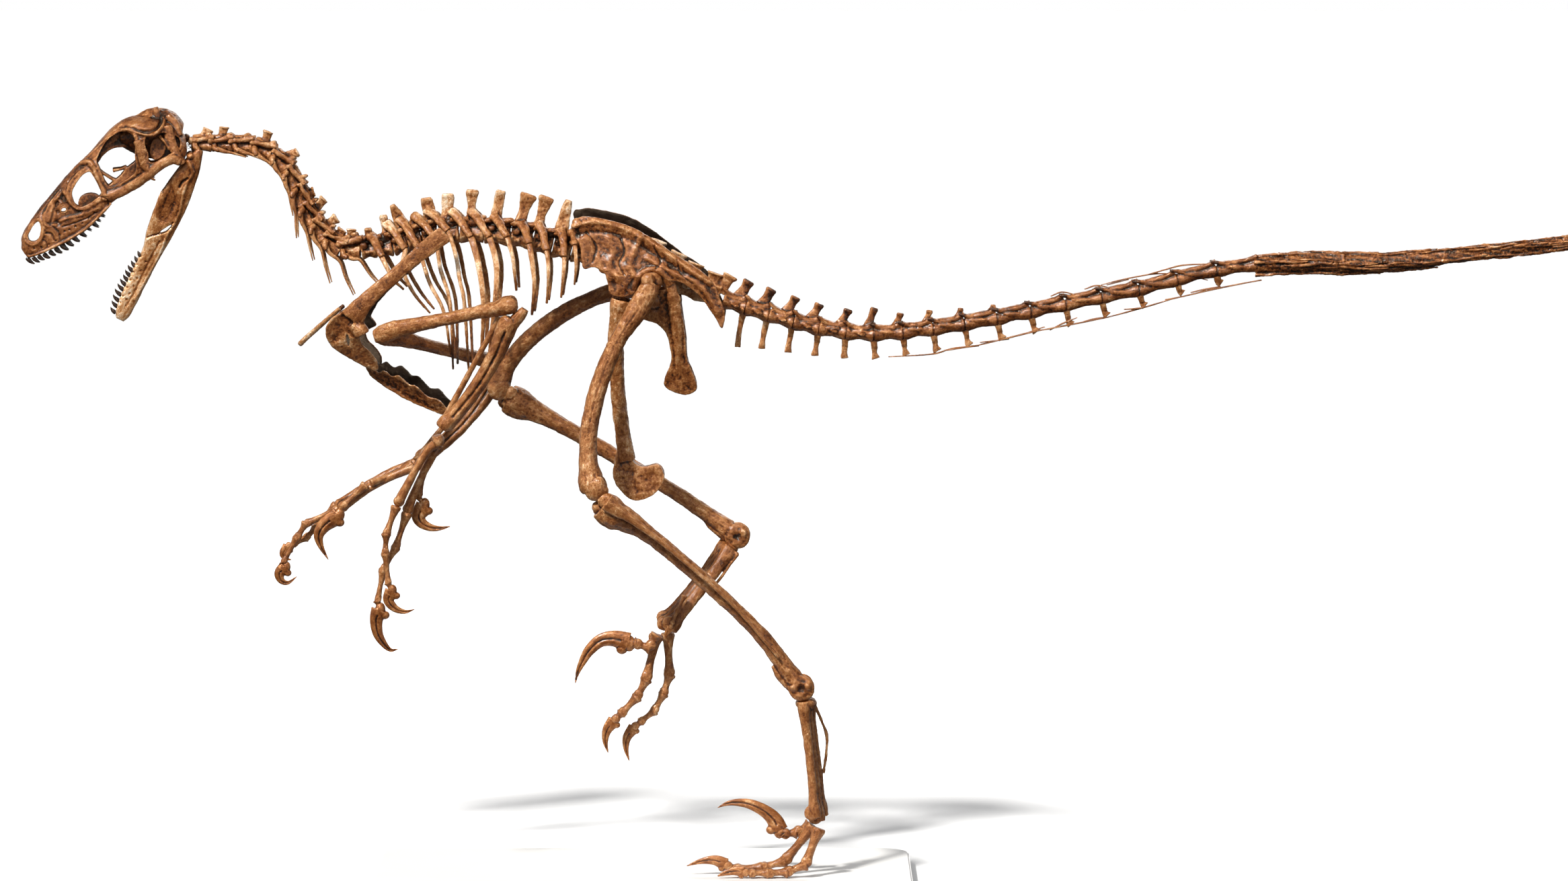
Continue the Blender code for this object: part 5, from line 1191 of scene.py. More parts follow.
def draw_neck_bone(mesh, frame, half, radius, count):
    """Body, arch, four joint knobs, side lumps and the small square spine of one neck bone."""
    spool(mesh, frame, half, radius * 0.94, 0.74)
    part(mesh, frame, (-half * 1.0, 0, radius * 1.25, radius * 0.62, 2.1),
         (0, 0, radius * 1.2, radius * 0.78, 3.0), (half * 1.0, 0, radius * 1.4, radius * 0.62, 2.2),
         sides=14)
    rise, lean, _ = NECK_SPINES[count]
    if rise > 0:
        spine_blade(mesh, frame, radius * 1.3, radius * 1.95 + rise, 2.9, lean, 1.7)
        part(mesh, frame, (lean - 3.6, 0, radius * 1.6, 1.0, 1.3), (lean + 3.8, 0, radius * 1.7, 1.0, 1.5),
             steps=2, sides=8)
    for side in (-1, 1):
        part(mesh, frame, (-half * 1.25, side * radius * 0.82, radius * 1.05, 1.7, 1.9),
             (-half * 0.5, side * radius * 0.96, radius * 1.0, 1.3, 1.4),
             (half * 0.4, side * radius * 0.86, radius * 1.35, 1.4, 1.7),
             (half * 1.2, side * radius * 1.0, radius * 1.62, 1.9, 1.7), steps=4)
        knob(mesh, frame(half * (0.6 + 0.2 * math.sin(count * 2.3)), side * radius * 0.8, radius * 1.95),
             (2.0, 1.4, 1.3))
        knob(mesh, frame(-half * 1.1, side * radius * 0.95, radius * 0.75), (1.8, 1.3, 1.4))
        part(mesh, frame, (-half * 0.7, side * radius * 0.7, radius * 0.2, 2.0, 1.9),
             (-half * 0.55, side * radius * 1.15, -radius * 0.3, 1.8, 1.8),
             (-half * 0.2, side * radius * 1.25, -radius * 0.62, 2.2, 1.4), sides=10)


def cast_neck():
    column = Column(NECK_LINE)
    pace = column.length / NECK_BONES
    groups = (("neck_front", range(0, 4)), ("neck_middle", range(4, 8)),
              ("neck_rear", range(8, NECK_BONES)))
    for group, members in groups:
        for count in members:
            share = count / (NECK_BONES - 1)
            radius = 3.6 + 1.9 * share
            half = (pace + 0.3) / 2
            frame = column.frame((count + 0.5) * pace)
            mesh = bmesh.new()
            draw_neck_bone(mesh, frame, half, radius, count)
            tilt = column.tilt((count + 0.5) * pace)
            way = (math.cos(tilt), 0, math.sin(tilt))
            centre = np.array(frame(0, 0, 0))
            up = np.array((-math.sin(tilt), 0, math.cos(tilt)))

            def stain_and_shade(spots, normals, centre=centre, up=up, top=radius * 1.9, pale=NECK_SPINES[count][2]):
                height = (spots - centre) @ up
                return pale * np.clip((height - top) / 1.5, 0, 1) - 0.10 * np.clip((2 - height) / 4, 0, 1)

            cast_bone(f"neck_bone_{count + 1:02d}", mesh, group, grain=0.42, along=way, lumps=1.3,
                      creases=0.55, tone=stain_and_shade, soften=2)
            if count == 0:
                continue
            reach = min(15 + 22 * share ** 2, 10 + 9 * (NECK_BONES - count))
            drop = radius * 1.5 + 3 * share + 9 * max(0, count - 7) / 3
            for label, side in (("left", -1), ("right", 1)):
                out = side * (5.6 + share)
                mesh = bmesh.new()
                part(mesh, frame, (-2.5, side * 5.0, -radius * 0.35, 1.5, 1.8),
                     (2, out, -radius * 0.7, 1.0, 1.4), (reach * 0.35, out, -radius * 0.85, 0.8, 1.0),
                     (reach * 0.65, out, -radius * 0.85 - (drop - radius) * 0.55, 0.7, 0.8),
                     (reach, out, -drop, 0.45, 0.45), steps=5, sides=8)
                cast_bone(f"neck_rib_{label}_{count:02d}", mesh, group, grain=0.3, along=way, lumps=0.25,
                          creases=0.15, tone=0.04)
    mesh = bmesh.new()
    rows = ((-275.5, 0, 453.4, 1.5, 1.5), (-272.5, 0, 453.6, 1.7, 1.7), (-269.5, 0, 453.4, 1.7, 1.7),
            (-266.5, 0, 453.2, 1.5, 1.5))
    limb(mesh, rows, steps=2, sides=16)
    fix_piece(loose_object("neck_pin", mesh), clear_acrylic(), ["neck_front"])


def clear_acrylic():
    acrylic = Finish("clear_acrylic")
    haze = acrylic.noise(acrylic.place, 900.0, 4.0)
    clear = acrylic.tint(haze, ((0.0, (0.86, 0.88, 0.90)), (1.0, (0.96, 0.97, 0.98))))
    return acrylic.dress(Base_Color=clear, Roughness=acrylic.spread(haze, 0.0, 1.0, 0.02, 0.14),
                         Transmission_Weight=0.85, IOR=1.49)


cast_neck()

# ---- Skull ----
# A light box of thin bone with large windows for the nostril, snout, eye and cheek, and a rounded
# braincase behind. It was moulded as one crushed fossil and cast with its cracks and lost edges.

HEAD_TURN = math.radians(7)
SKULL_PITCH = math.radians(34)
SKULL_ORIGIN = (-276.6, 0.0, 456.2)
SKULL_FORM = ((-1.5, 2, 13, 10), (3, -6, 19.2, 17), (9, -9, 24.8, 20.5), (16, -7.2, 29.6, 22),
              (23, -6.8, 32.0, 21.5), (31, -7.5, 31.8, 19.5), (38, -7.5, 30.6, 17), (46, -7.2, 28.3, 15),
              (55, -6.4, 26.3, 13), (65, -7.8, 24.7, 11.4), (75, -10, 22.1, 10.2), (86, -10.4, 18.8, 9),
              (97, -9.3, 15.7, 7.9), (107, -7.8, 11.8, 6.6), (114, -6.4, 8, 5.2), (118.5, -5.6, 2, 3.4))
ORBIT_RIM = ((51.5, 17), (50.1, 21.1), (43, 25.4), (36.8, 27.4), (29.6, 27.4), (25.6, 24.9), (24, 20.6),
             (25.2, 16.7), (27.8, 13.2), (30.4, 9.4), (32.5, 5), (36, 1.8), (44, 1.4), (52, 2.4), (53.6, 6),
             (52.6, 12))
SNOUT_WINDOW = ((58.2, 17.7), (62.7, 18.3), (68.8, 16), (72.6, 14.1), (75, 11.4), (76.2, 6.8), (75.4, 4.3),
                (73.3, 2.4), (66, 1.8), (60, 2.6), (58.4, 7.9), (57.6, 12.2), (57.4, 15.9))
NOSTRIL = ((100.3, 9.9), (103.8, 9.8), (107.3, 8.3), (110.5, 6.5), (111.5, 3.7), (109.9, 1.7), (107.4, 1),
           (104.2, 2.8), (101.3, 6.2))
CHEEK_WINDOW = ((21.5, 0.4), (24.6, 2.6), (22.6, 6.5), (21.4, 11.5), (18.4, 15.4), (13, 14.6), (9, 12.6),
                (5, 9.8), (2.1, 4), (5.5, -1.2), (13, -0.4))
LOWER_HOLE = ((82.2, 7.2), (83.9, 8.6), (85.8, 7.2), (83.9, 5.8))


def turned(x, y, z):
    """Swing a place about the neck joint, as the head looks a little to its left."""
    cos, sin = math.cos(HEAD_TURN), math.sin(HEAD_TURN)
    ahead = x - SKULL_ORIGIN[0]
    return Vector((SKULL_ORIGIN[0] + ahead * cos - y * sin, ahead * sin + y * cos, z))


def unturned(spots):
    """The spots as they lie with the head looking straight forwards."""
    cos, sin = math.cos(HEAD_TURN), math.sin(HEAD_TURN)
    ahead = spots[:, 0] - SKULL_ORIGIN[0]
    return np.stack([SKULL_ORIGIN[0] + ahead * cos + spots[:, 1] * sin, spots[:, 1] * cos - ahead * sin,
                     spots[:, 2]], axis=1)


def head_axis(pitch):
    """Forward direction of a part of the head at the given pitch."""
    flat = math.cos(pitch)
    return (-flat * math.cos(HEAD_TURN), -flat * math.sin(HEAD_TURN), -math.sin(pitch))


def skull_spot(u, y, v):
    """Place in the skull's own frame: u forwards from the occiput, v up across it."""
    cos, sin = math.cos(SKULL_PITCH), math.sin(SKULL_PITCH)
    x0, _, z0 = SKULL_ORIGIN
    return turned(x0 - u * cos - v * sin, y, z0 - u * sin + v * cos)


HEAD_ACROSS = (-math.sin(HEAD_TURN), math.cos(HEAD_TURN), 0)
SKULL_AXIS = head_axis(SKULL_PITCH)


def skull_flat(spots):
    """The (u, v) of each spot."""
    cos, sin = math.cos(SKULL_PITCH), math.sin(SKULL_PITCH)
    straight = unturned(spots)
    x, z = straight[:, 0] - SKULL_ORIGIN[0], straight[:, 2] - SKULL_ORIGIN[2]
    return np.stack([-x * cos - z * sin, -x * sin + z * cos], axis=1)


def skull_ring(mesh, u, low, high, half, drop, sides=36):
    """Ring across the skull: a rounded roof, and cheeks that run straight down to their lower edge."""
    middle = low + (high - low) * 0.42
    ring = []
    for step in range(sides):
        turn = math.tau * (step + 0.5) / sides
        cos, sin = math.cos(turn), math.sin(turn)
        square = 1.25 if sin > 0 else 4.0
        reach = (abs(cos) ** (2 * square) + abs(sin) ** (2 * square)) ** (-0.5 / square)
        rise = (high - middle) if sin > 0 else (middle - low + drop)
        ring.append(mesh.verts.new(skull_spot(u, cos * reach * half, middle + sin * reach * rise) * MM))
    return ring


def skull_shell(mesh, inset, drop, first, last):
    """Box of the skull between two stations, drawn in by `inset`, with its floor dropped by `drop`."""
    rings = []
    for u, low, high, half in smooth_line(SKULL_FORM, 4):
        if first <= u <= last:
            rings.append(skull_ring(mesh, u, low + 0.3, high - inset, max(half - inset, 0.8), drop))
    for near, far in zip(rings, rings[1:]):
        for step in range(len(near)):
            after = (step + 1) % len(near)
            mesh.faces.new((near[step], near[after], far[after], far[step]))
    mesh.faces.new(rings[0][::-1])
    mesh.faces.new(rings[-1])


def cheek(u, v):
    """Half width of the skull's outer face at (u, v)."""
    form = np.array(SKULL_FORM)
    low, high, half = (float(np.interp(u, form[:, 0], form[:, column])) for column in (1, 2, 3))
    middle = low + (high - low) * 0.42
    if v < middle:
        return half
    return half * max(0.02, 1 - min(0.99, (v - middle) / (high - middle)) ** 2.5) ** 0.4


def ridge(mesh, side, line, tall, thick):
    """Rounded ridge along the skull's outer face: tall across (u, v), thick outwards."""
    rows = []
    for spot in line:
        u, v = spot[:2]
        grow = spot[2] if len(spot) > 2 else 1.0
        rows.append((u, side * (cheek(u, v) - 0.2), v, thick * grow, tall * grow))
    part(mesh, skull_spot, *rows, across=HEAD_ACROSS, steps=4, sides=10)


def cut_away(mesh, *cutters, grain=None):
    """The drawn shape with the drawn cutters cut out, merged first where a grain is given."""
    item = loose_object("blank", mesh)
    if grain:
        merge_shapes(item, grain)
        settle(item)
    for cutter in cutters:
        tool = loose_object("cutter", cutter)
        cut = item.modifiers.new("cut", "BOOLEAN")
        cut.operation = "DIFFERENCE"
        cut.object = tool
        cut.solver = "EXACT"
        settle(item)
        bpy.data.objects.remove(tool, do_unlink=True)
    left = bmesh.new()
    left.from_mesh(item.data)
    bpy.data.objects.remove(item, do_unlink=True)
    return left


# Raised bars and crests: (line of (u, v, size), height across, thickness).
SKULL_RIDGES = (
    (((57.5, 24.6, 0.7), (52, 25.4), (46, 26.4), (40, 27.8), (34, 29), (29.4, 29), (25.4, 27),
      (23, 23.6, 1.1), (22.6, 20, 1.2), (23.6, 16, 1.2)), 1.0, 0.8),
    (((27.4, 27.4), (23.6, 25), (20.2, 21), (16.6, 16.6), (12.5, 14.6), (7.5, 15.2), (4, 17.8), (2.6, 21)),
     1.5, 1.7),
    (((23.2, 17), (24.4, 12.4), (26.2, 7.4), (27.6, 2.6), (27.4, -1.6)), 2.9, 1.5),
    (((60.5, 0.2, 0.7), (56, -1.2), (50, -2.8), (44, -3.6), (37, -3.9), (30, -3.5), (23, -2.7), (17, -2.9),
      (12, -4.6, 0.9), (9.6, -8.2, 0.8)), 3.1, 1.7),
    (((59.4, 24.2, 1.2), (55.6, 22.6, 1.5), (54.2, 19.4, 1.2), (55.2, 15, 0.9), (56.4, 9, 0.8),
      (57.2, 4, 1.1), (58.4, 0.6, 1.6)), 1.5, 1.3),
    (((57, 1.6, 0.8), (62, 0.2), (68, 0), (74.4, 1.0), (77.8, 4.6), (78, 10), (75.2, 15), (70.6, 18.6),
      (64, 20.4), (58.8, 20.2, 0.8)), 1.0, 0.55),
    (((66, -3.4, 0.6), (73.5, -2.2), (80, 0), (86.6, 2.2), (93, 2.6), (97.6, 4.6), (97.4, 8.4), (93.4, 12),
      (86.6, 15.6), (79, 18.2, 0.6)), 0.9, 0.55),
    (((99.2, 6.6), (99, 10.8), (103.4, 11.2), (108, 9.6), (112.4, 7.2), (113.4, 3.4), (111.2, 0.2),
      (107, -0.6), (102.6, 2, 1.2), (99.4, 6)), 0.8, 0.7),
    (((117.6, -4.2), (110, -6.4), (102, -7.8), (93, -9), (82, -9.6), (74, -8.8), (66, -7.2),
      (58, -5.4, 0.8)), 0.9, 0.9),
    (((79.6, 10.4), (83.2, 11.6), (87, 11)), 0.5, 0.6),
    (((78.4, 12.4), (82.6, 15.4)), 0.5, 0.6),
    (((29.2, -6.4), (28, -8.6, 0.5)), 0.9, 0.8),
)
# Cracks, seams and furrows: (line, depth, width).
SKULL_GROOVES = (
    (((29.3, 30), (25.6, 28.9), (22.1, 25.9), (19.2, 21.9), (15.8, 18.5), (12.2, 17.2), (7.7, 17.3),
      (3.9, 19.5)),
     1.5, 0.9),
    (((90, -0.8), (84, -2.6), (76, -4.6), (68, -5.2)), 0.5, 0.5),
    (((96.2, 6.2), (94, -1.4), (96, -6)), 0.45, 0.6),
    (((100.2, 1.6), (98.2, -0.6), (98.8, -4)), 0.7, 0.6),
    (((104.4, -0.8), (103.6, -3), (104.6, -5.6)), 0.5, 0.6),
    (((61, 1.6), (58.6, -2.4), (60.4, -5.6)), 0.45, 0.5),
    (((46, -0.2), (40, -0.6), (33, -0.4)), 0.35, 0.5),
    (((96, 12.8), (88, 16.4), (80, 19.2)), 0.4, 0.6),
)
# Openings for nerves and vessels: ((u, v), depth, width).
SKULL_PITS = (((80.4, 13.6), 2.2, 1.5), ((85.6, 13.0), 2.0, 1.4), ((91.5, 2.7), 2.4, 1.7),
              ((87.6, 8.6), 1.4, 1.3),
              ((94.3, -3.8), 0.8, 0.6), ((90.7, -3.7), 0.9, 0.6), ((87.8, -4.5), 0.8, 0.6),
              ((83.7, -5), 0.9, 0.6),
              ((79, -5.6), 0.9, 0.6), ((74.3, -5.4), 0.8, 0.6), ((69.6, -4.8), 0.8, 0.6),
              ((98.4, -5.4), 0.8, 0.6),
              ((103, -5.0), 0.7, 0.6), ((108, -4.0), 0.8, 0.7), ((112, -2), 0.8, 0.7),
              ((56.6, 22), 0.8, 0.8))
MAXILLA_FOSSA = ((78.2, 15.4), (78.6, 9), (77.2, 3.4), (74, 0.4), (78, -0.4), (86.4, 2.9), (93.6, 3.4),
                 (95.8, 5.6), (91.8, 9.6), (85.2, 14.2), (79.4, 17))


def inside_loop(flat, outline):
    """How far inside a closed outline each flat spot lies (negative outside)."""
    loop = smooth_loop(outline, 4)
    inside = np.zeros(len(flat), dtype=bool)
    for (x0, y0), (x1, y1) in zip(loop, np.roll(loop, -1, axis=0)):
        crosses = (y0 > flat[:, 1]) != (y1 > flat[:, 1])
        with np.errstate(divide="ignore", invalid="ignore"):
            edge = (x1 - x0) * (flat[:, 1] - y0) / (y1 - y0) + x0
        inside ^= crosses & (flat[:, 0] < edge)
    gap = line_distance(flat, np.vstack([loop, loop[:1]]))
    return np.where(inside, gap, -gap)


def carve_skull(spots, normals):
    flat = skull_flat(spots)
    aside = unturned(spots)[:, 1]
    outer = np.clip(normals[:, 1] * np.sign(aside) * 2.2, 0, 1)
    push = relief(flat, SKULL_GROOVES, SKULL_PITS, -1)
    push -= 0.9 * np.clip(inside_loop(flat, MAXILLA_FOSSA), 0, 1)
    return push * outer


def skull_shade_and_tone(spots, normals):
    """Painted shade on the faces inside the box, below the roof; paler along the cheek bar."""
    flat = skull_flat(spots)
    aside = unturned(spots)[:, 1]
    form = np.array(SKULL_FORM)
    half = np.interp(flat[:, 0], form[:, 0], form[:, 3])
    inside = np.clip((half * 0.8 - np.abs(aside)) / 3, 0, 1) * (flat[:, 1] < 24)
    return -0.26 * inside + 0.07 * near_line(flat, ((60, 0), (44, -3.6), (30, -3.5), (12, -4.6)), 3)


def draw_skull_inside(mesh):
    inner_roof = ((53, 19), (50.2, 19.3), (45.5, 21), (39.1, 21.1), (33.4, 18.7), (29.6, 15.4),
                  (24.4, 10.5), (23, 18), (26, 27), (36, 29.5), (45, 27.5), (53, 25))
    plate(mesh, inner_roof, 15, lambda x, z: 0, place=skull_spot)
    braincase = ((-2, 0, 6, 7, 5), (4, 0, 11, 11, 13), (14, 0, 15, 12.5, 15.5), (24, 0, 20, 11.5, 11),
                 (31, 0, 24, 8.5, 5.5))
    part(mesh, skull_spot, *braincase, across=HEAD_ACROSS, sides=20)
    knob(mesh, skull_spot(-1.5, 0, 1.5), (2.6, 2.6, 2.6))
    palate = ((92, 0, -4, 7.4, 1.5), (101, 0, -4.5, 6.7, 1.6), (110, 0, -4.3, 5.4, 1.8),
              (116, 0, -3.8, 4, 2))
    part(mesh, skull_spot, *palate, across=HEAD_ACROSS, steps=2)


def draw_skull_side(mesh, side):
    for line, tall, thick in SKULL_RIDGES:
        ridge(mesh, side, line, tall, thick)
    rods = (
        (((4, side * 15.4, 14, 2.4, 3.4), (7, side * 17.4, 6, 2.0, 3.2), (8.6, side * 18.4, -3, 2.2, 2.6),
          (9.0, side * 18, -9.6, 3.2, 2.6))),
        (((10.8, side * 17.6, 12, 1.0, 1.2), (10.4, side * 18.4, 7, 0.9, 0.9),
          (10.2, side * 18.4, 2, 1.0, 1.2))),
        (((9, side * 14, -4, 1.2, 2), (30, side * 8, -2, 1.2, 2), (60, side * 5, -4, 1.2, 2),
          (94, side * 4, -4, 1.6, 1.6))),
        (((38, side * 10.5, 7.4, 1.1, 1.1), (42, side * 11.4, 8.4, 0.9, 0.9),
          (46, side * 12, 10.2, 1.1, 1.2))),
        (((54.4, side * 12.6, 20, 0.9, 0.9), (53, side * 11.8, 15.4, 0.8, 0.8),
          (50.6, side * 11.4, 9.4, 0.8, 0.8), (48, side * 11.2, 3.4, 1.1, 1.1))),
        (((6.4, side * 8, 20, 1.8, 2.4), (4.2, side * 8, 24.6, 1.6, 2.0), (3.2, side * 8, 27, 1.2, 1.5))),
        (((0, side * 9, 19, 2.2, 2.6), (-1, side * 11, 12, 2.4, 2.6), (1, side * 13, 5, 1.8, 2.2))),
    )
    for rod in rods:
        part(mesh, skull_spot, *rod, across=HEAD_ACROSS, sides=10)
    plates = (
        (((16.5, 11.5), (11.5, 11), (11, 4.8), (16.9, 0.6), (22, 2), (21.4, 7)), 1.6, 15.0),
        (((25.6, 9.6), (30, 7.6), (38.6, 6.8), (44.3, 5.2), (51.6, 4.4), (53.4, 3.2), (49.6, -3),
          (40.8, -4), (33.5, -4), (26.5, -3)), 1.4, 11.4),
        (((75, 4.5), (73, 7), (69.8, 8), (65.9, 7), (62.6, 4.1), (62, 0), (68, -1.2), (74.6, 0.6)), 2.2,
         5.5),
    )
    for outline, thick, out in plates:
        plate(mesh, outline, thick, lambda x, z, y=side * out: y, place=skull_spot)


def cast_skull():
    shell, hollow, cheeks = bmesh.new(), bmesh.new(), bmesh.new()
    skull_shell(shell, 0, 0, -2, 120)
    skull_shell(hollow, 2.0, 6, 6, 113)
    windows = []
    for window in (ORBIT_RIM, SNOUT_WINDOW, NOSTRIL, LOWER_HOLE):
        windows.append(bmesh.new())
        plate(windows[-1], window, 60, lambda x, z: 0, place=skull_spot)
    for side in (-1, 1):
        plate(cheeks, CHEEK_WINDOW, 18, lambda x, z, y=side * 21: y, place=skull_spot)
    mesh = cut_away(shell, hollow, *windows, cheeks)
    draw_skull_inside(mesh)
    for side in (-1, 1):
        draw_skull_side(mesh, side)
    cast_bone("skull", mesh, "skull", grain=0.4, lumps=0.7, creases=0.35, carve=carve_skull,
              tone=skull_shade_and_tone, along=SKULL_AXIS, soften=2)


cast_skull()

# ---- Upper teeth ----
# Small curved blades with fine cutting edges, cast separately in glossy black resin and set into the
# sockets along each side of the snout.


TOOTH_TONES = ((0.35, (0.006, 0.004, 0.004)), (0.8, (0.075, 0.038, 0.02)))


def tooth_gloss():
    gloss = Finish("black_tooth")
    noise = gloss.noise(gloss.place, 700.0, 5.0)
    return gloss.dress(Base_Color=gloss.tint(noise, TOOTH_TONES), Normal=gloss.bump(noise, 0.25, 0.0003),
                       Roughness=0.16)


BLACK_TOOTH = tooth_gloss()


def set_tooth(name, root, tip, half, node):
    """One blade from its root in the gum to its backward-curving tip."""
    root, tip = Vector(root), Vector(tip)
    down = (tip - root).normalized()
    back = Vector(HEAD_ACROSS).cross(down)
    if back.x < 0:
        back.negate()
    rows = []
    for share, reach, bend in ((0, 0.8, 0), (0.3, 1.0, -0.2), (0.6, 0.74, -0.28), (0.85, 0.38, -0.1),
                               (1, 0.1, 0.16)):
        spot = root.lerp(tip, share) + back * bend * half
        rows.append((*spot, half * 0.5 * reach, half * reach))
    mesh = bmesh.new()
    limb(mesh, rows, across=HEAD_ACROSS, steps=3, sides=12)
    fix_piece(loose_object(name, mesh), BLACK_TOOTH, [node])


UPPER_TIPS = ((117.2, -10.0), (114.0, -11.0), (110.8, -11.4), (107.4, -12.4), (103.6, -13.0), (99.6, -14.0),
              (95.4, -14.6), (91.4, -14.4), (87, -14.3), (81.9, -14.2), (77.4, -12.9), (72.6, -13.6),
              (69.6, -11.4), (65.8, -10.4))
UPPER_SIZES = (1.2, 1.2, 1.2, 1.3, 1.3, 1.4, 1.5, 1.5, 1.5, 1.6, 1.2, 1.6, 1.1, 1.2)
for label, side in (("left", -1), ("right", 1)):
    for count, ((u, v), half) in enumerate(zip(UPPER_TIPS, UPPER_SIZES)):
        share = count / 13
        gum = -5.6 - 4.2 * math.sin(math.pi * min(1, share * 1.25)) ** 0.8 - 1.3 * share
        y = side * (3.8 + 6.0 * share)
        set_tooth(f"upper_tooth_{label}_{count + 1:02d}", skull_spot(u + 1.8, y, gum + 1.4),
                  skull_spot(u, y, v), half, "skull")

# ---- Lower jaw ----
# Two long halves meet at the chin. The tooth-bearing front is smooth and rubbed nearly white, the
# deeper rear part is browner and carries a narrow slot where two bones met.

JAW_PITCH = math.radians(63.3)
JAW_HINGE = (-270.0, 447.0)
JAW_AXIS = head_axis(JAW_PITCH)
JAW_FORM = ((-5, -1.6, 2.2, 16.5, 2.4), (1, -3.6, 4.0, 16.4, 2.6), (8, -5.4, 5.8, 16.0, 2.5),
            (16, -6.6, 7.5, 15.2, 2.2), (22, -7.4, 8.4, 14.4, 2.0), (29, -8.2, 9.5, 13.3, 1.9),
            (36, -8.4, 9.2, 12.1, 1.8), (44, -8.3, 8.5, 10.8, 1.9), (54, -8, 7.1, 9.1, 2.0),
            (65, -7.2, 4.4, 7.4, 2.1), (77, -7, 4.5, 5.7, 2.1), (94, -6.8, 4.1, 4.0, 2.0),
            (105, -6.4, 2.6, 3.2, 1.9), (109.5, -4.6, 0.4, 2.6, 1.4))
JAW_GROOVES = (
    (((57.1, 5.4), (54.3, 2.6), (52.5, 0.4), (50, -1.5), (45.8, -3.6), (42, -4.9)), 0.8, 0.6),
    (((20.8, 1.4), (17.7, 1.3), (14.1, -0.5)), 1.2, 0.7),
    (((100, -1.8), (90, -2.4), (78, -2.2), (66, -2.2), (56, -2.6)), 0.45, 0.8),
)
JAW_PITS = [((u, 2.4 + 0.05 * (99 - u)), 0.55, 0.7) for u in (69, 74.5, 79.5, 84.6, 89.6, 95.7, 99.9)]
JAW_PITS += [((u, -0.4), 0.6, 0.75) for u in (70.7, 77, 82.1, 87.3, 92.3, 96.5)]
JAW_HOLLOW = ((20.3, 7.8), (27, 8.2), (35, 7.6), (43.7, 6.2), (47.3, 1.9), (41.7, -2.6), (32.5, -2.4),
              (24.5, 0.1))
LOWER_TIPS = ((67.6, 6.4), (71.2, 6.8), (74.7, 7.4), (78, 8.0), (81.3, 8.2), (84.4, 8.0), (87.5, 8.5),
              (90.8, 8.6), (94.3, 8.8), (98, 8.2), (101.6, 7.2), (105.4, 6.2))
JAW_RIDGE = ((4.5, 3.7), (9.1, -1.7), (15.3, -1.6), (23.3, -2.4), (32.5, -4.9), (40.4, -5.6), (49.2, -4.8),
             (64.2, -5.9), (78.1, -5.4), (94, -4.9))


def jaw_spot(u, y, v):
    """Place in the lower jaw's frame: u forwards from its hinge, v up across it."""
    cos, sin = math.cos(JAW_PITCH), math.sin(JAW_PITCH)
    x0, z0 = JAW_HINGE
    return turned(x0 - u * cos - v * sin, y, z0 - u * sin + v * cos)


def jaw_flat(spots):
    cos, sin = math.cos(JAW_PITCH), math.sin(JAW_PITCH)
    straight = unturned(spots)
    x, z = straight[:, 0] - JAW_HINGE[0], straight[:, 2] - JAW_HINGE[1]
    return np.stack([-x * cos - z * sin, -x * sin + z * cos], axis=1)


def cast_jaw(label, side):
    mesh = bmesh.new()
    rows = []
    for u, low, high, y, half in JAW_FORM:
        rows.append((*jaw_spot(u, side * y, (low + high) / 2), half, (high - low) / 2))
    limb(mesh, rows, across=HEAD_ACROSS, steps=4, sides=20, square=1.3, axis=JAW_AXIS)
    slot = bmesh.new()
    fenestra = ((51.4, -0.4), (49, -0.8), (45, -3.2), (43, -5.2), (46.8, -5.0), (50.4, -2.4))
    plate(slot, fenestra, 12, lambda x, z: side * 11, place=jaw_spot)
    mesh = cut_away(mesh, slot)
    knob(mesh, jaw_spot(1, side * 16.4, 3.4), (2.6, 3.6, 2.4))

    def carve(spots, normals):
        flat = jaw_flat(spots)
        outer = np.clip(normals[:, 1] * side * 2.2, 0, 1)
        push = relief(flat, JAW_GROOVES, JAW_PITS, -1)
        push -= 0.8 * np.clip(inside_loop(flat, JAW_HOLLOW) / 2.5, 0, 1)
        push += 0.7 * near_line(flat, JAW_RIDGE, 0.9)
        return push * outer

    def stain_and_shade(spots, normals):
        front = np.clip((jaw_flat(spots)[:, 0] - 46) / 14, 0, 1)
        return 0.2 * front + 0.02

    cast_bone(f"{label}_jaw", mesh, f"lower_jaw_{label}", grain=0.4, lumps=0.5, creases=0.25, carve=carve,
              along=JAW_AXIS, tone=stain_and_shade, soften=2, finish=SMOOTH_RESIN)
    for count, (u, v) in enumerate(LOWER_TIPS):
        share = 1 - count / 11
        y = side * (3.2 + 3.8 * share)
        gum = 2.8 + 1.4 * min(1, share * 4)
        set_tooth(f"lower_tooth_{label}_{count + 1:02d}", jaw_spot(u + 1.6, y, gum - 1.0),
                  jaw_spot(u, y, v), 1.15, f"lower_jaw_{label}")


for label, side in (("left", -1), ("right", 1)):
    cast_jaw(label, side)

# ---- Shoulders and breast ----
# A smooth strap-like blade lies along the ribs on each side and widens into a pitted plate in front.
# A thin wishbone joins the two in front and a pair of breast plates lies below.


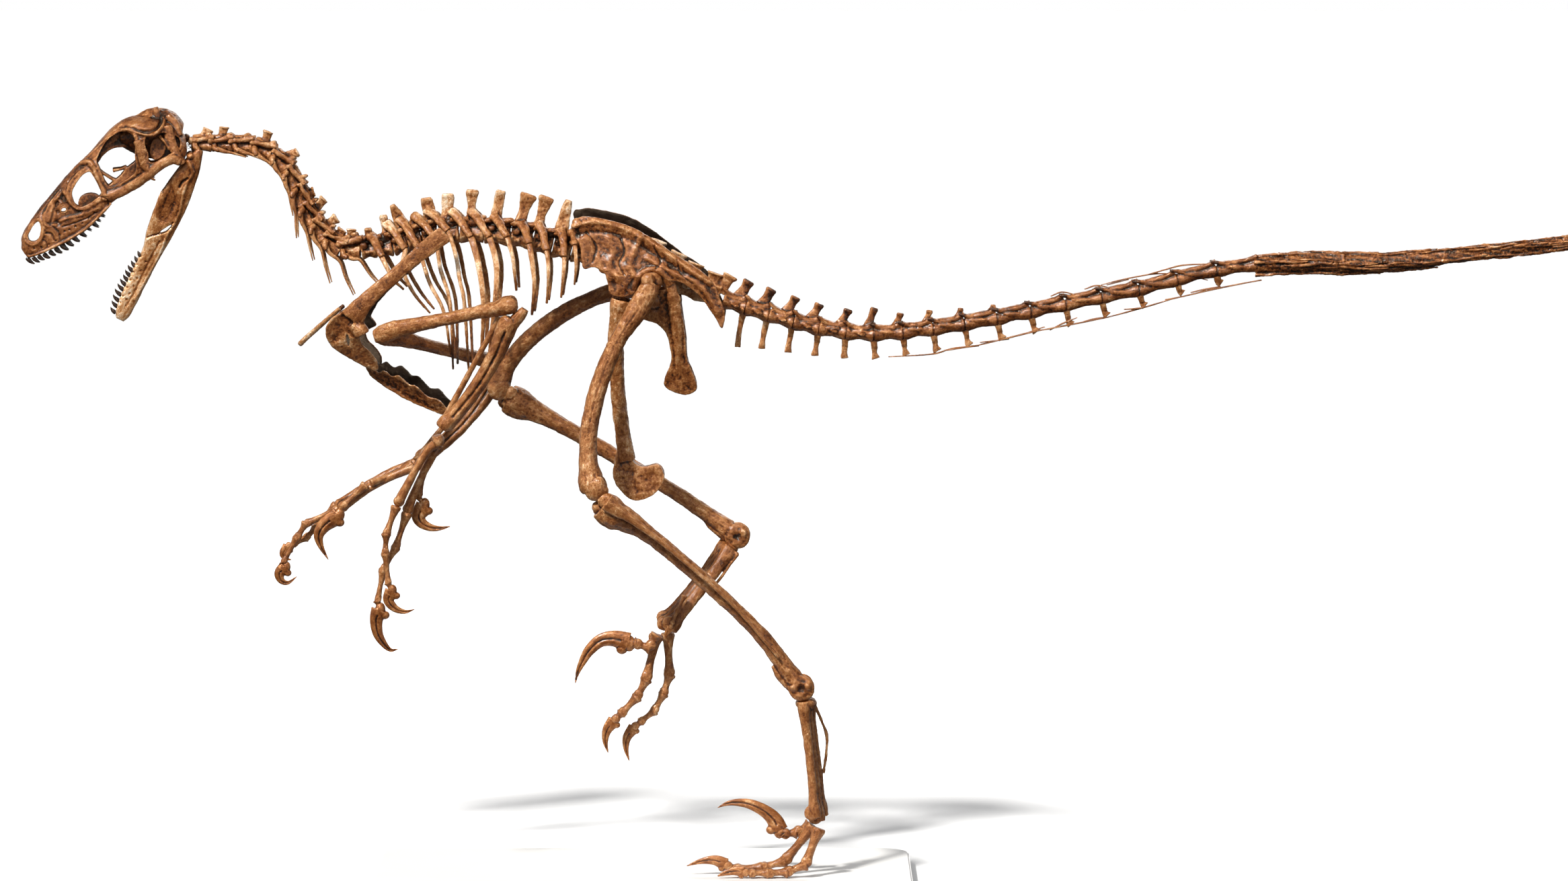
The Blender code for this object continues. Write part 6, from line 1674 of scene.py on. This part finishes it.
def cast_shoulder(label, side):
    mesh = bmesh.new()
    blade = ((-117, side * 34.5, 402, 1.0, 5.6), (-122, side * 34.5, 398, 1.2, 5.8),
             (-137, side * 33.6, 386, 1.4, 4.6),
             (-150, side * 32.8, 374.5, 1.7, 4.4), (-160, side * 32, 366, 2.0, 4.6),
             (-169, side * 31, 357, 2.6, 5.8), (-174, side * 29, 350, 3.2, 7.5))
    limb(mesh, blade, steps=5, sides=16, square=1.3)
    outline = ((-181, 354), (-187, 350), (-190.3, 343), (-188.5, 335), (-182.5, 329), (-170, 321.5),
               (-161, 317.5), (-159.5, 323), (-164, 330), (-168.5, 334.5), (-170, 340), (-168, 347),
               (-170, 355), (-176, 357))
    plate(mesh, outline, 3.4, lambda x, z: side * (28 - 15 * min(1, max(0, (345 - z) / 28))))
    socket = ((-173, side * 28, 347, 4, 4), (-169, side * 29, 343, 4.2, 5),
              (-167.6, side * 29, 340.5, 3.8, 5))
    limb(mesh, socket, steps=3, sides=14)
    hole = bmesh.new()
    plate(hole, ((-177.5, 341), (-175.5, 337), (-176.5, 333), (-178, 337)), 14, lambda x, z: side * 23)
    mesh = cut_away(mesh, hole, grain=0.9)

    # Painted shade on the blade's face towards the body, deepest on the far blade; the lower part slightly
    # paler.
    def stain_and_shade(spots, normals):
        inner_face_shade = np.clip(-normals[:, 1] * side * 2 - 0.3, 0, 1)
        return (-0.7 if side > 0 else -0.3) * inner_face_shade + 0.07 * (spots[:, 2] < 350)

    cast_bone(f"{label}_shoulder_blade", mesh, f"shoulder_blade_{label}", grain=0.5, lumps=0.9,
              creases=0.35,
              along=(0.75, 0, 0.65), tone=stain_and_shade, finish=BROWN_RESIN if side < 0 else FAR_SIDE_SHADE_RESIN)


def cast_wishbone():
    mesh = bmesh.new()
    rows = []
    for share in np.linspace(-1, 1, 9):
        reach = abs(share)
        rows.append((-208 + 25.5 * reach ** 1.2, 15.5 * share, 333 + 22.5 * reach ** 1.15, 1.3,
                     1.7 - 0.4 * reach))
    limb(mesh, rows, across=(1, 0, 1), steps=5, sides=12)
    # The far arm of the wishbone is painted dark as painted shadow; the near arm slightly paler.
    cast_bone("wishbone", mesh, "wishbone", grain=0.4, lumps=0.4, creases=0.2,
              tone=lambda spots, normals: np.where(spots[:, 1] > 1, -0.3, 0.12))


def cast_breast_plate(label, side, lift):
    mesh = bmesh.new()
    outline = ((-168, 321), (-164, 320.5), (-160, 316.2), (-156, 317.4), (-151.5, 314), (-147, 314.6),
               (-141, 309),
               (-137, 308.4), (-130, 301.6), (-124, 300.4), (-118, 294.5), (-113, 292), (-118, 289.4),
               (-130, 293.4), (-143.5, 299.6), (-156, 307), (-165, 314))
    outline = [(x, z + lift) for x, z in outline]
    plate(mesh, outline, 2.6, lambda x, z: side * (4.5 + 0.95 * max(0, z - lift - 290 - 0.55 * (-118 - x))))
    # The far breast plate is painted near black as painted shade.
    cast_bone(f"{label}_breast_plate", mesh, f"breast_plate_{label}", grain=0.5, lumps=1.2, creases=0.5,
              along=(1, 0, -0.6), tone=-0.75 if side > 0 else 0.03,
              finish=GLOSSY_RESIN if side < 0 else FAR_SIDE_SHADE_RESIN)


for label, side in (("left", -1), ("right", 1)):
    cast_shoulder(label, side)
    cast_breast_plate(label, side, 4.0 if side > 0 else 0.0)
cast_wishbone()

# ---- Arms and hands ----
# Upper arm, two forearm bones, small wrist bones, a palm and three clawed fingers on each side. Each
# bone is a solid cast and the claws are darker and smoother than the bones that carry them.

HUMERUS = ((0.0, 0, 2.8, 4.0), (0.05, 0.2, 3.4, 5.6), (0.14, 1.2, 3.4, 5.8), (0.24, 1.4, 3.6, 5.0),
           (0.4, 0.9, 3.9, 4.2), (0.65, 0.2, 3.9, 4.0), (0.85, -0.4, 4.8, 4.6), (0.95, 0, 6.8, 5.8),
           (1.0, 0.3, 6.2, 4.8))
ULNA = ((0.0, 0, 3.4, 3.8), (0.03, 0.2, 4.6, 5.6), (0.1, 1.0, 5.0, 6.2), (0.3, 3.8, 4.2, 5.2),
        (0.6, 4.6, 3.8, 4.6), (0.85, 2.4, 3.8, 4.6), (0.96, 0.4, 4.8, 5.2), (1.0, 0, 4.0, 4.0))
RADIUS = ((0.0, 0, 2.4, 2.6), (0.1, 0, 1.8, 1.9), (0.5, 0, 1.7, 1.8), (0.9, 0, 1.9, 2.0),
          (1.0, 0, 2.6, 2.6))
ARMS = {
    "left": (-1, (-160.5, -29, 339.3), (-74.5, -56, 361.0), (-76.5, -57, 352.5), (-119.0, -44, 285.5)),
    "right": (1, (-163.0, 29, 336.0), (-91.0, 71, 316.8), (-91.5, 71, 309.5), (-139.5, 50, 257.5)),
}
HANDS = {
    "left": {
        "palm": (((-122, -44, 281), (-121, -43.5, 275)),
                 ((-121.5, -45, 277), (-128.5, -44.5, 271), (-136.5, -44, 257.5), (-145.3, -43, 241)),
                 ((-121.5, -39, 275), (-126.5, -38.5, 266), (-134.6, -38, 250), (-140.2, -38, 236))),
        "thumb": (((-130, -33.5, 262), (-134.5, -32.5, 243)),
                  ((-130.8, 237.5), (-134, 231.5), (-132.5, 227), (-127, 224), (-121, 223.6),
                   (-115.1, 224.8)),
                  (5.0, 4.4, 3.2, 2.2, 1.3, 0.3), -32.5),
        "second": (((-141, -38, 233), (-147.8, -38, 212.5), (-155.5, -38, 199), (-159, -38, 179.5)),
                   ((-157.6, 174.5), (-159.8, 168.5), (-159, 160.5), (-155.6, 154.2), (-151.3, 150.2),
                    (-146.8, 150.8)),
                   (5.2, 3.8, 3.0, 2.1, 1.2, 0.3), -38),
        "third": (((-147.2, -44, 237.5), (-153, -45, 221), (-153.6, -45, 209.5), (-151.8, -45, 191.5)),
                  ((-149.6, 186.8), (-151.8, 181.5), (-148.3, 176.6), (-142.2, 174.3), (-136.1, 175.8)),
                  (4.4, 3.2, 2.3, 1.3, 0.3), -45),
    },
    "right": {
        "palm": (((-143, 49, 255.5), (-150, 48.5, 250.5)),
                 ((-141.5, 51, 256), (-157, 50, 250), (-172, 48, 242), (-188.5, 46, 230.5)),
                 ((-142, 45, 253.5), (-157, 44, 247.5), (-172, 43, 239), (-186, 42, 229.5))),
        "thumb": (((-172, 37, 243), (-186, 36, 230)),
                  ((-188.5, 224.5), (-197, 218.5), (-200.8, 212), (-199.4, 205), (-194.9, 196.8)),
                  (5.4, 4.2, 3.0, 1.7, 0.3), 36),
        "second": (((-189.5, 42, 227.5), (-209.5, 42, 218.5), (-214.8, 42, 210), (-223.5, 42, 194.5)),
                   ((-222, 191.5), (-225.8, 187.6), (-224.6, 183.2), (-220.5, 182), (-215, 185.9)),
                   (4.4, 3.2, 2.1, 1.2, 0.3), 42),
        "third": (((-191, 48, 229.5), (-204.5, 49, 214.5), (-210, 49, 209), (-218, 49, 205)),
                  ((-221, 203.6), (-224, 199.6), (-222.8, 196.4), (-219, 195.4)), (3.4, 2.4, 1.4, 0.3), 49),
    },
}


def cast_arm(label):
    out, shoulder, elbow, forearm, wrist = ARMS[label]
    shoulder, elbow, forearm, wrist = Vector(shoulder), Vector(elbow), Vector(forearm), Vector(wrist)
    mesh = bmesh.new()
    limb(mesh, between(shoulder, elbow, HUMERUS), steps=5, sides=16)
    for lane in (-1, 1):
        knob(mesh, shoulder.lerp(elbow, 0.97) + Vector((0, lane * 3.6, -0.6)), (4.6, 3.2, 5.0))
    # The far upper arm bone is made slightly darker than the near one, as painted shade.
    cast_bone(f"{label}_humerus", mesh, f"humerus_{label}", grain=0.48, along=elbow - shoulder,
              creases=0.35, lumps=1.0, tone=0.02 if out < 0 else -0.06)
    mesh = bmesh.new()
    limb(mesh, between(forearm, wrist, ULNA), steps=5, sides=16)
    away = (forearm - wrist).normalized()
    limb(mesh, [(*(forearm - away * 6 + Vector((2.5, 0, 0))), 3.6, 4.4),
                (*(forearm + away * 3 + Vector((4.6, out * 0.5, 0))), 3.2, 3.4),
                (*(forearm + away * 6.5 + Vector((5.0, out * 0.5, 0))), 2.4, 2.4)], steps=3, sides=12)
    line = [(spot[0], spot[2]) for spot in between(forearm.lerp(wrist, 0.12), forearm.lerp(wrist, 0.88),
                                                   ((0, 1.6, 1, 1), (0.3, 4.4, 1, 1), (0.6, 5, 1, 1),
                                                    (1, 2, 1, 1)))]

    def furrow(spots, normals):
        gap = line_distance(spots[:, (0, 2)], smooth_line(line, 4))
        return -1.1 * np.exp(-(gap / 1.0) ** 2) * (np.abs(normals[:, 1]) > 0.3)

    cast_bone(f"{label}_ulna", mesh, f"ulna_{label}", grain=0.46, along=wrist - forearm, creases=0.3,
              lumps=0.8, carve=furrow)
    mesh = bmesh.new()
    start = forearm + Vector((-7.0, -out * 7.0, 0.5))
    end = wrist + Vector((-1.5, -out * 8.0, 0.5))
    limb(mesh, between(start, end, RADIUS), steps=5, sides=12)
    cast_bone(f"{label}_radius", mesh, f"radius_{label}", grain=0.4, along=wrist - forearm, creases=0.2)
    hand = HANDS[label]
    near, root = Vector(hand["palm"][0][0]), Vector(hand["palm"][0][1])
    mesh = bmesh.new()
    limb(mesh, [(*near, 5.6, 3.2), (*near.lerp(root, 0.5), 6.2, 4.0), (*root, 5.8, 3.0)], steps=3, sides=14)
    cast_bone(f"{label}_wrist", mesh, f"palm_{label}", grain=0.42, creases=0.2)
    mesh = bmesh.new()
    for line in hand["palm"][1:]:
        rows = [(*spot, size, size) for spot, size in zip(line, (3.1, 2.6, 2.3, 3.2))]
        limb(mesh, rows, steps=4, sides=12)
        knob(mesh, Vector(line[-1]), (3.5, 2.8, 3.5))
    thumb_root = Vector(hand["thumb"][0][0])
    limb(mesh, [(*root, 2.4, 2.4), (*root.lerp(thumb_root, 0.5), 2.0, 2.0),
                (*root.lerp(thumb_root, 0.85), 2.5, 2.5)],
         steps=3, sides=12)
    cast_bone(f"{label}_palm", mesh, f"palm_{label}", grain=0.42, along=Vector(hand["palm"][1][-1]) - root,
              creases=0.2)
    for finger in ("thumb", "second", "third"):
        joints, line, heights, y = hand[finger]
        node = "thumb" if finger == "thumb" else f"{finger}_finger"
        cast_toe(f"{label}_{node}", joints, line, heights, y, (2.7, 2.5, 2.3), f"{node}_{label}")


for label in ARMS:
    cast_arm(label)

# ---- Room ----
# A plain white floor that runs on out of sight under soft studio light: one broad main lamp high on
# the left in front, a long strip for crisp glints, a weak fill on the right and a rim light behind.


FLOOR_TONES = ((0.0, (0.86, 0.86, 0.86)), (1.0, (0.88, 0.88, 0.88)))
FLOOR_REACH = 400.0


def plain_floor():
    paper = Finish("pale_floor")
    paper.dress(Base_Color=paper.tint(paper.noise(paper.place, 3.0, 3.0), FLOOR_TONES), Roughness=0.8,
                Specular_IOR_Level=0.2)
    data = bpy.data.meshes.new("floor")
    corners = [(x * FLOOR_REACH, y * FLOOR_REACH, 0) for x, y in ((-1, -1), (1, -1), (1, 1), (-1, 1))]
    data.from_pydata(corners, [], [(0, 1, 2, 3)])
    data.materials.append(paper.material)
    floor = bpy.data.objects.new("floor", data)
    floor.visible_diffuse = False
    floor.visible_glossy = False
    bpy.context.scene.collection.objects.link(floor)
    floor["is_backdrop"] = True


def aim_lamp(name, light, place, aim):
    lamp = bpy.data.objects.new(name, light)
    lamp.location = place
    lamp.rotation_euler = (Vector(aim) - Vector(place)).to_track_quat("-Z", "Y").to_euler()
    bpy.context.scene.collection.objects.link(lamp)


def studio_light(name, place, aim, size, power, colour=(1, 1, 1)):
    light = bpy.data.lights.new(name, "AREA")
    light.shape = "RECTANGLE"
    light.size, light.size_y = size
    light.energy = power
    light.color = colour
    aim_lamp(name, light, place, aim)


def main_light():
    light = bpy.data.lights.new("main", "SUN")
    light.angle = math.radians(6)
    light.energy = 5.0
    light.color = (1.0, 0.985, 0.96)
    aim_lamp("main", light, (-1.2, -1.7, 2.1), (0, 0, 0))


plain_floor()
main_light()
studio_light("strip", (-0.5, -1.5, 1.7), (0, 0, 0.35), (1.8, 0.16), 18)
studio_light("fill", (1.6, -2.0, 0.7), (0.1, 0, 0.3), (0.9, 0.9), 3, (0.96, 0.98, 1.0))
studio_light("rim", (0.5, 1.8, 1.5), (0, 0, 0.35), (1.4, 0.5), 16)

world = bpy.data.worlds.new("studio")
bpy.context.scene.world = world
world.use_nodes = True
sky = Nodes(world.node_tree)
across = sky.add("SeparateXYZ", _0=sky.add("TexCoord").outputs["Generated"])
dome = sky.add("ValToRGB", Fac=sky.spread(across.outputs["Z"], -1.0, 1.0, 0.0, 1.0))
stops = dome.color_ramp.elements
for place, shade in ((0.47, 0.07), (0.485, 1.0), (0.54, 1.0), (0.64, 0.10)):
    stop = stops.new(place)
    stop.color = (shade, shade, shade, 1)
stops[0].color = (0.07, 0.068, 0.065, 1)
stops[-1].color = (0.10, 0.102, 0.105, 1)
sky.feed(sky.tree.nodes["Background"].inputs["Color"], dome.outputs["Color"])
bpy.context.scene.view_settings.view_transform = "Standard"

CAMERA_AIM = Vector((0.08651, 0.0, 0.274))
CAMERA_RANGE = 3.2
VIEW_WIDTH = 0.956
SENSOR = 36.0
CAMERA_DIP = math.radians(5)
lens = bpy.data.cameras.new("camera")
lens.sensor_width = SENSOR
lens.lens = SENSOR * CAMERA_RANGE / VIEW_WIDTH
lens.clip_start, lens.clip_end = 0.05, 100.0
lens.dof.use_dof = False
camera = bpy.data.objects.new("camera", lens)
camera.location = CAMERA_AIM + Vector((0, -math.cos(CAMERA_DIP), math.sin(CAMERA_DIP))) * CAMERA_RANGE
camera.rotation_euler = (CAMERA_AIM - camera.location).to_track_quat("-Z", "Y").to_euler()
bpy.context.scene.collection.objects.link(camera)
bpy.context.scene.camera = camera


def as_lists(bounds):
    if isinstance(bounds, dict):
        return {key: as_lists(value) for key, value in bounds.items()}
    if isinstance(bounds, (tuple, list, Vector)):
        return [as_lists(value) for value in bounds]
    return bounds


{"cad": as_lists(cad_box), "visual": as_lists(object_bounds())}
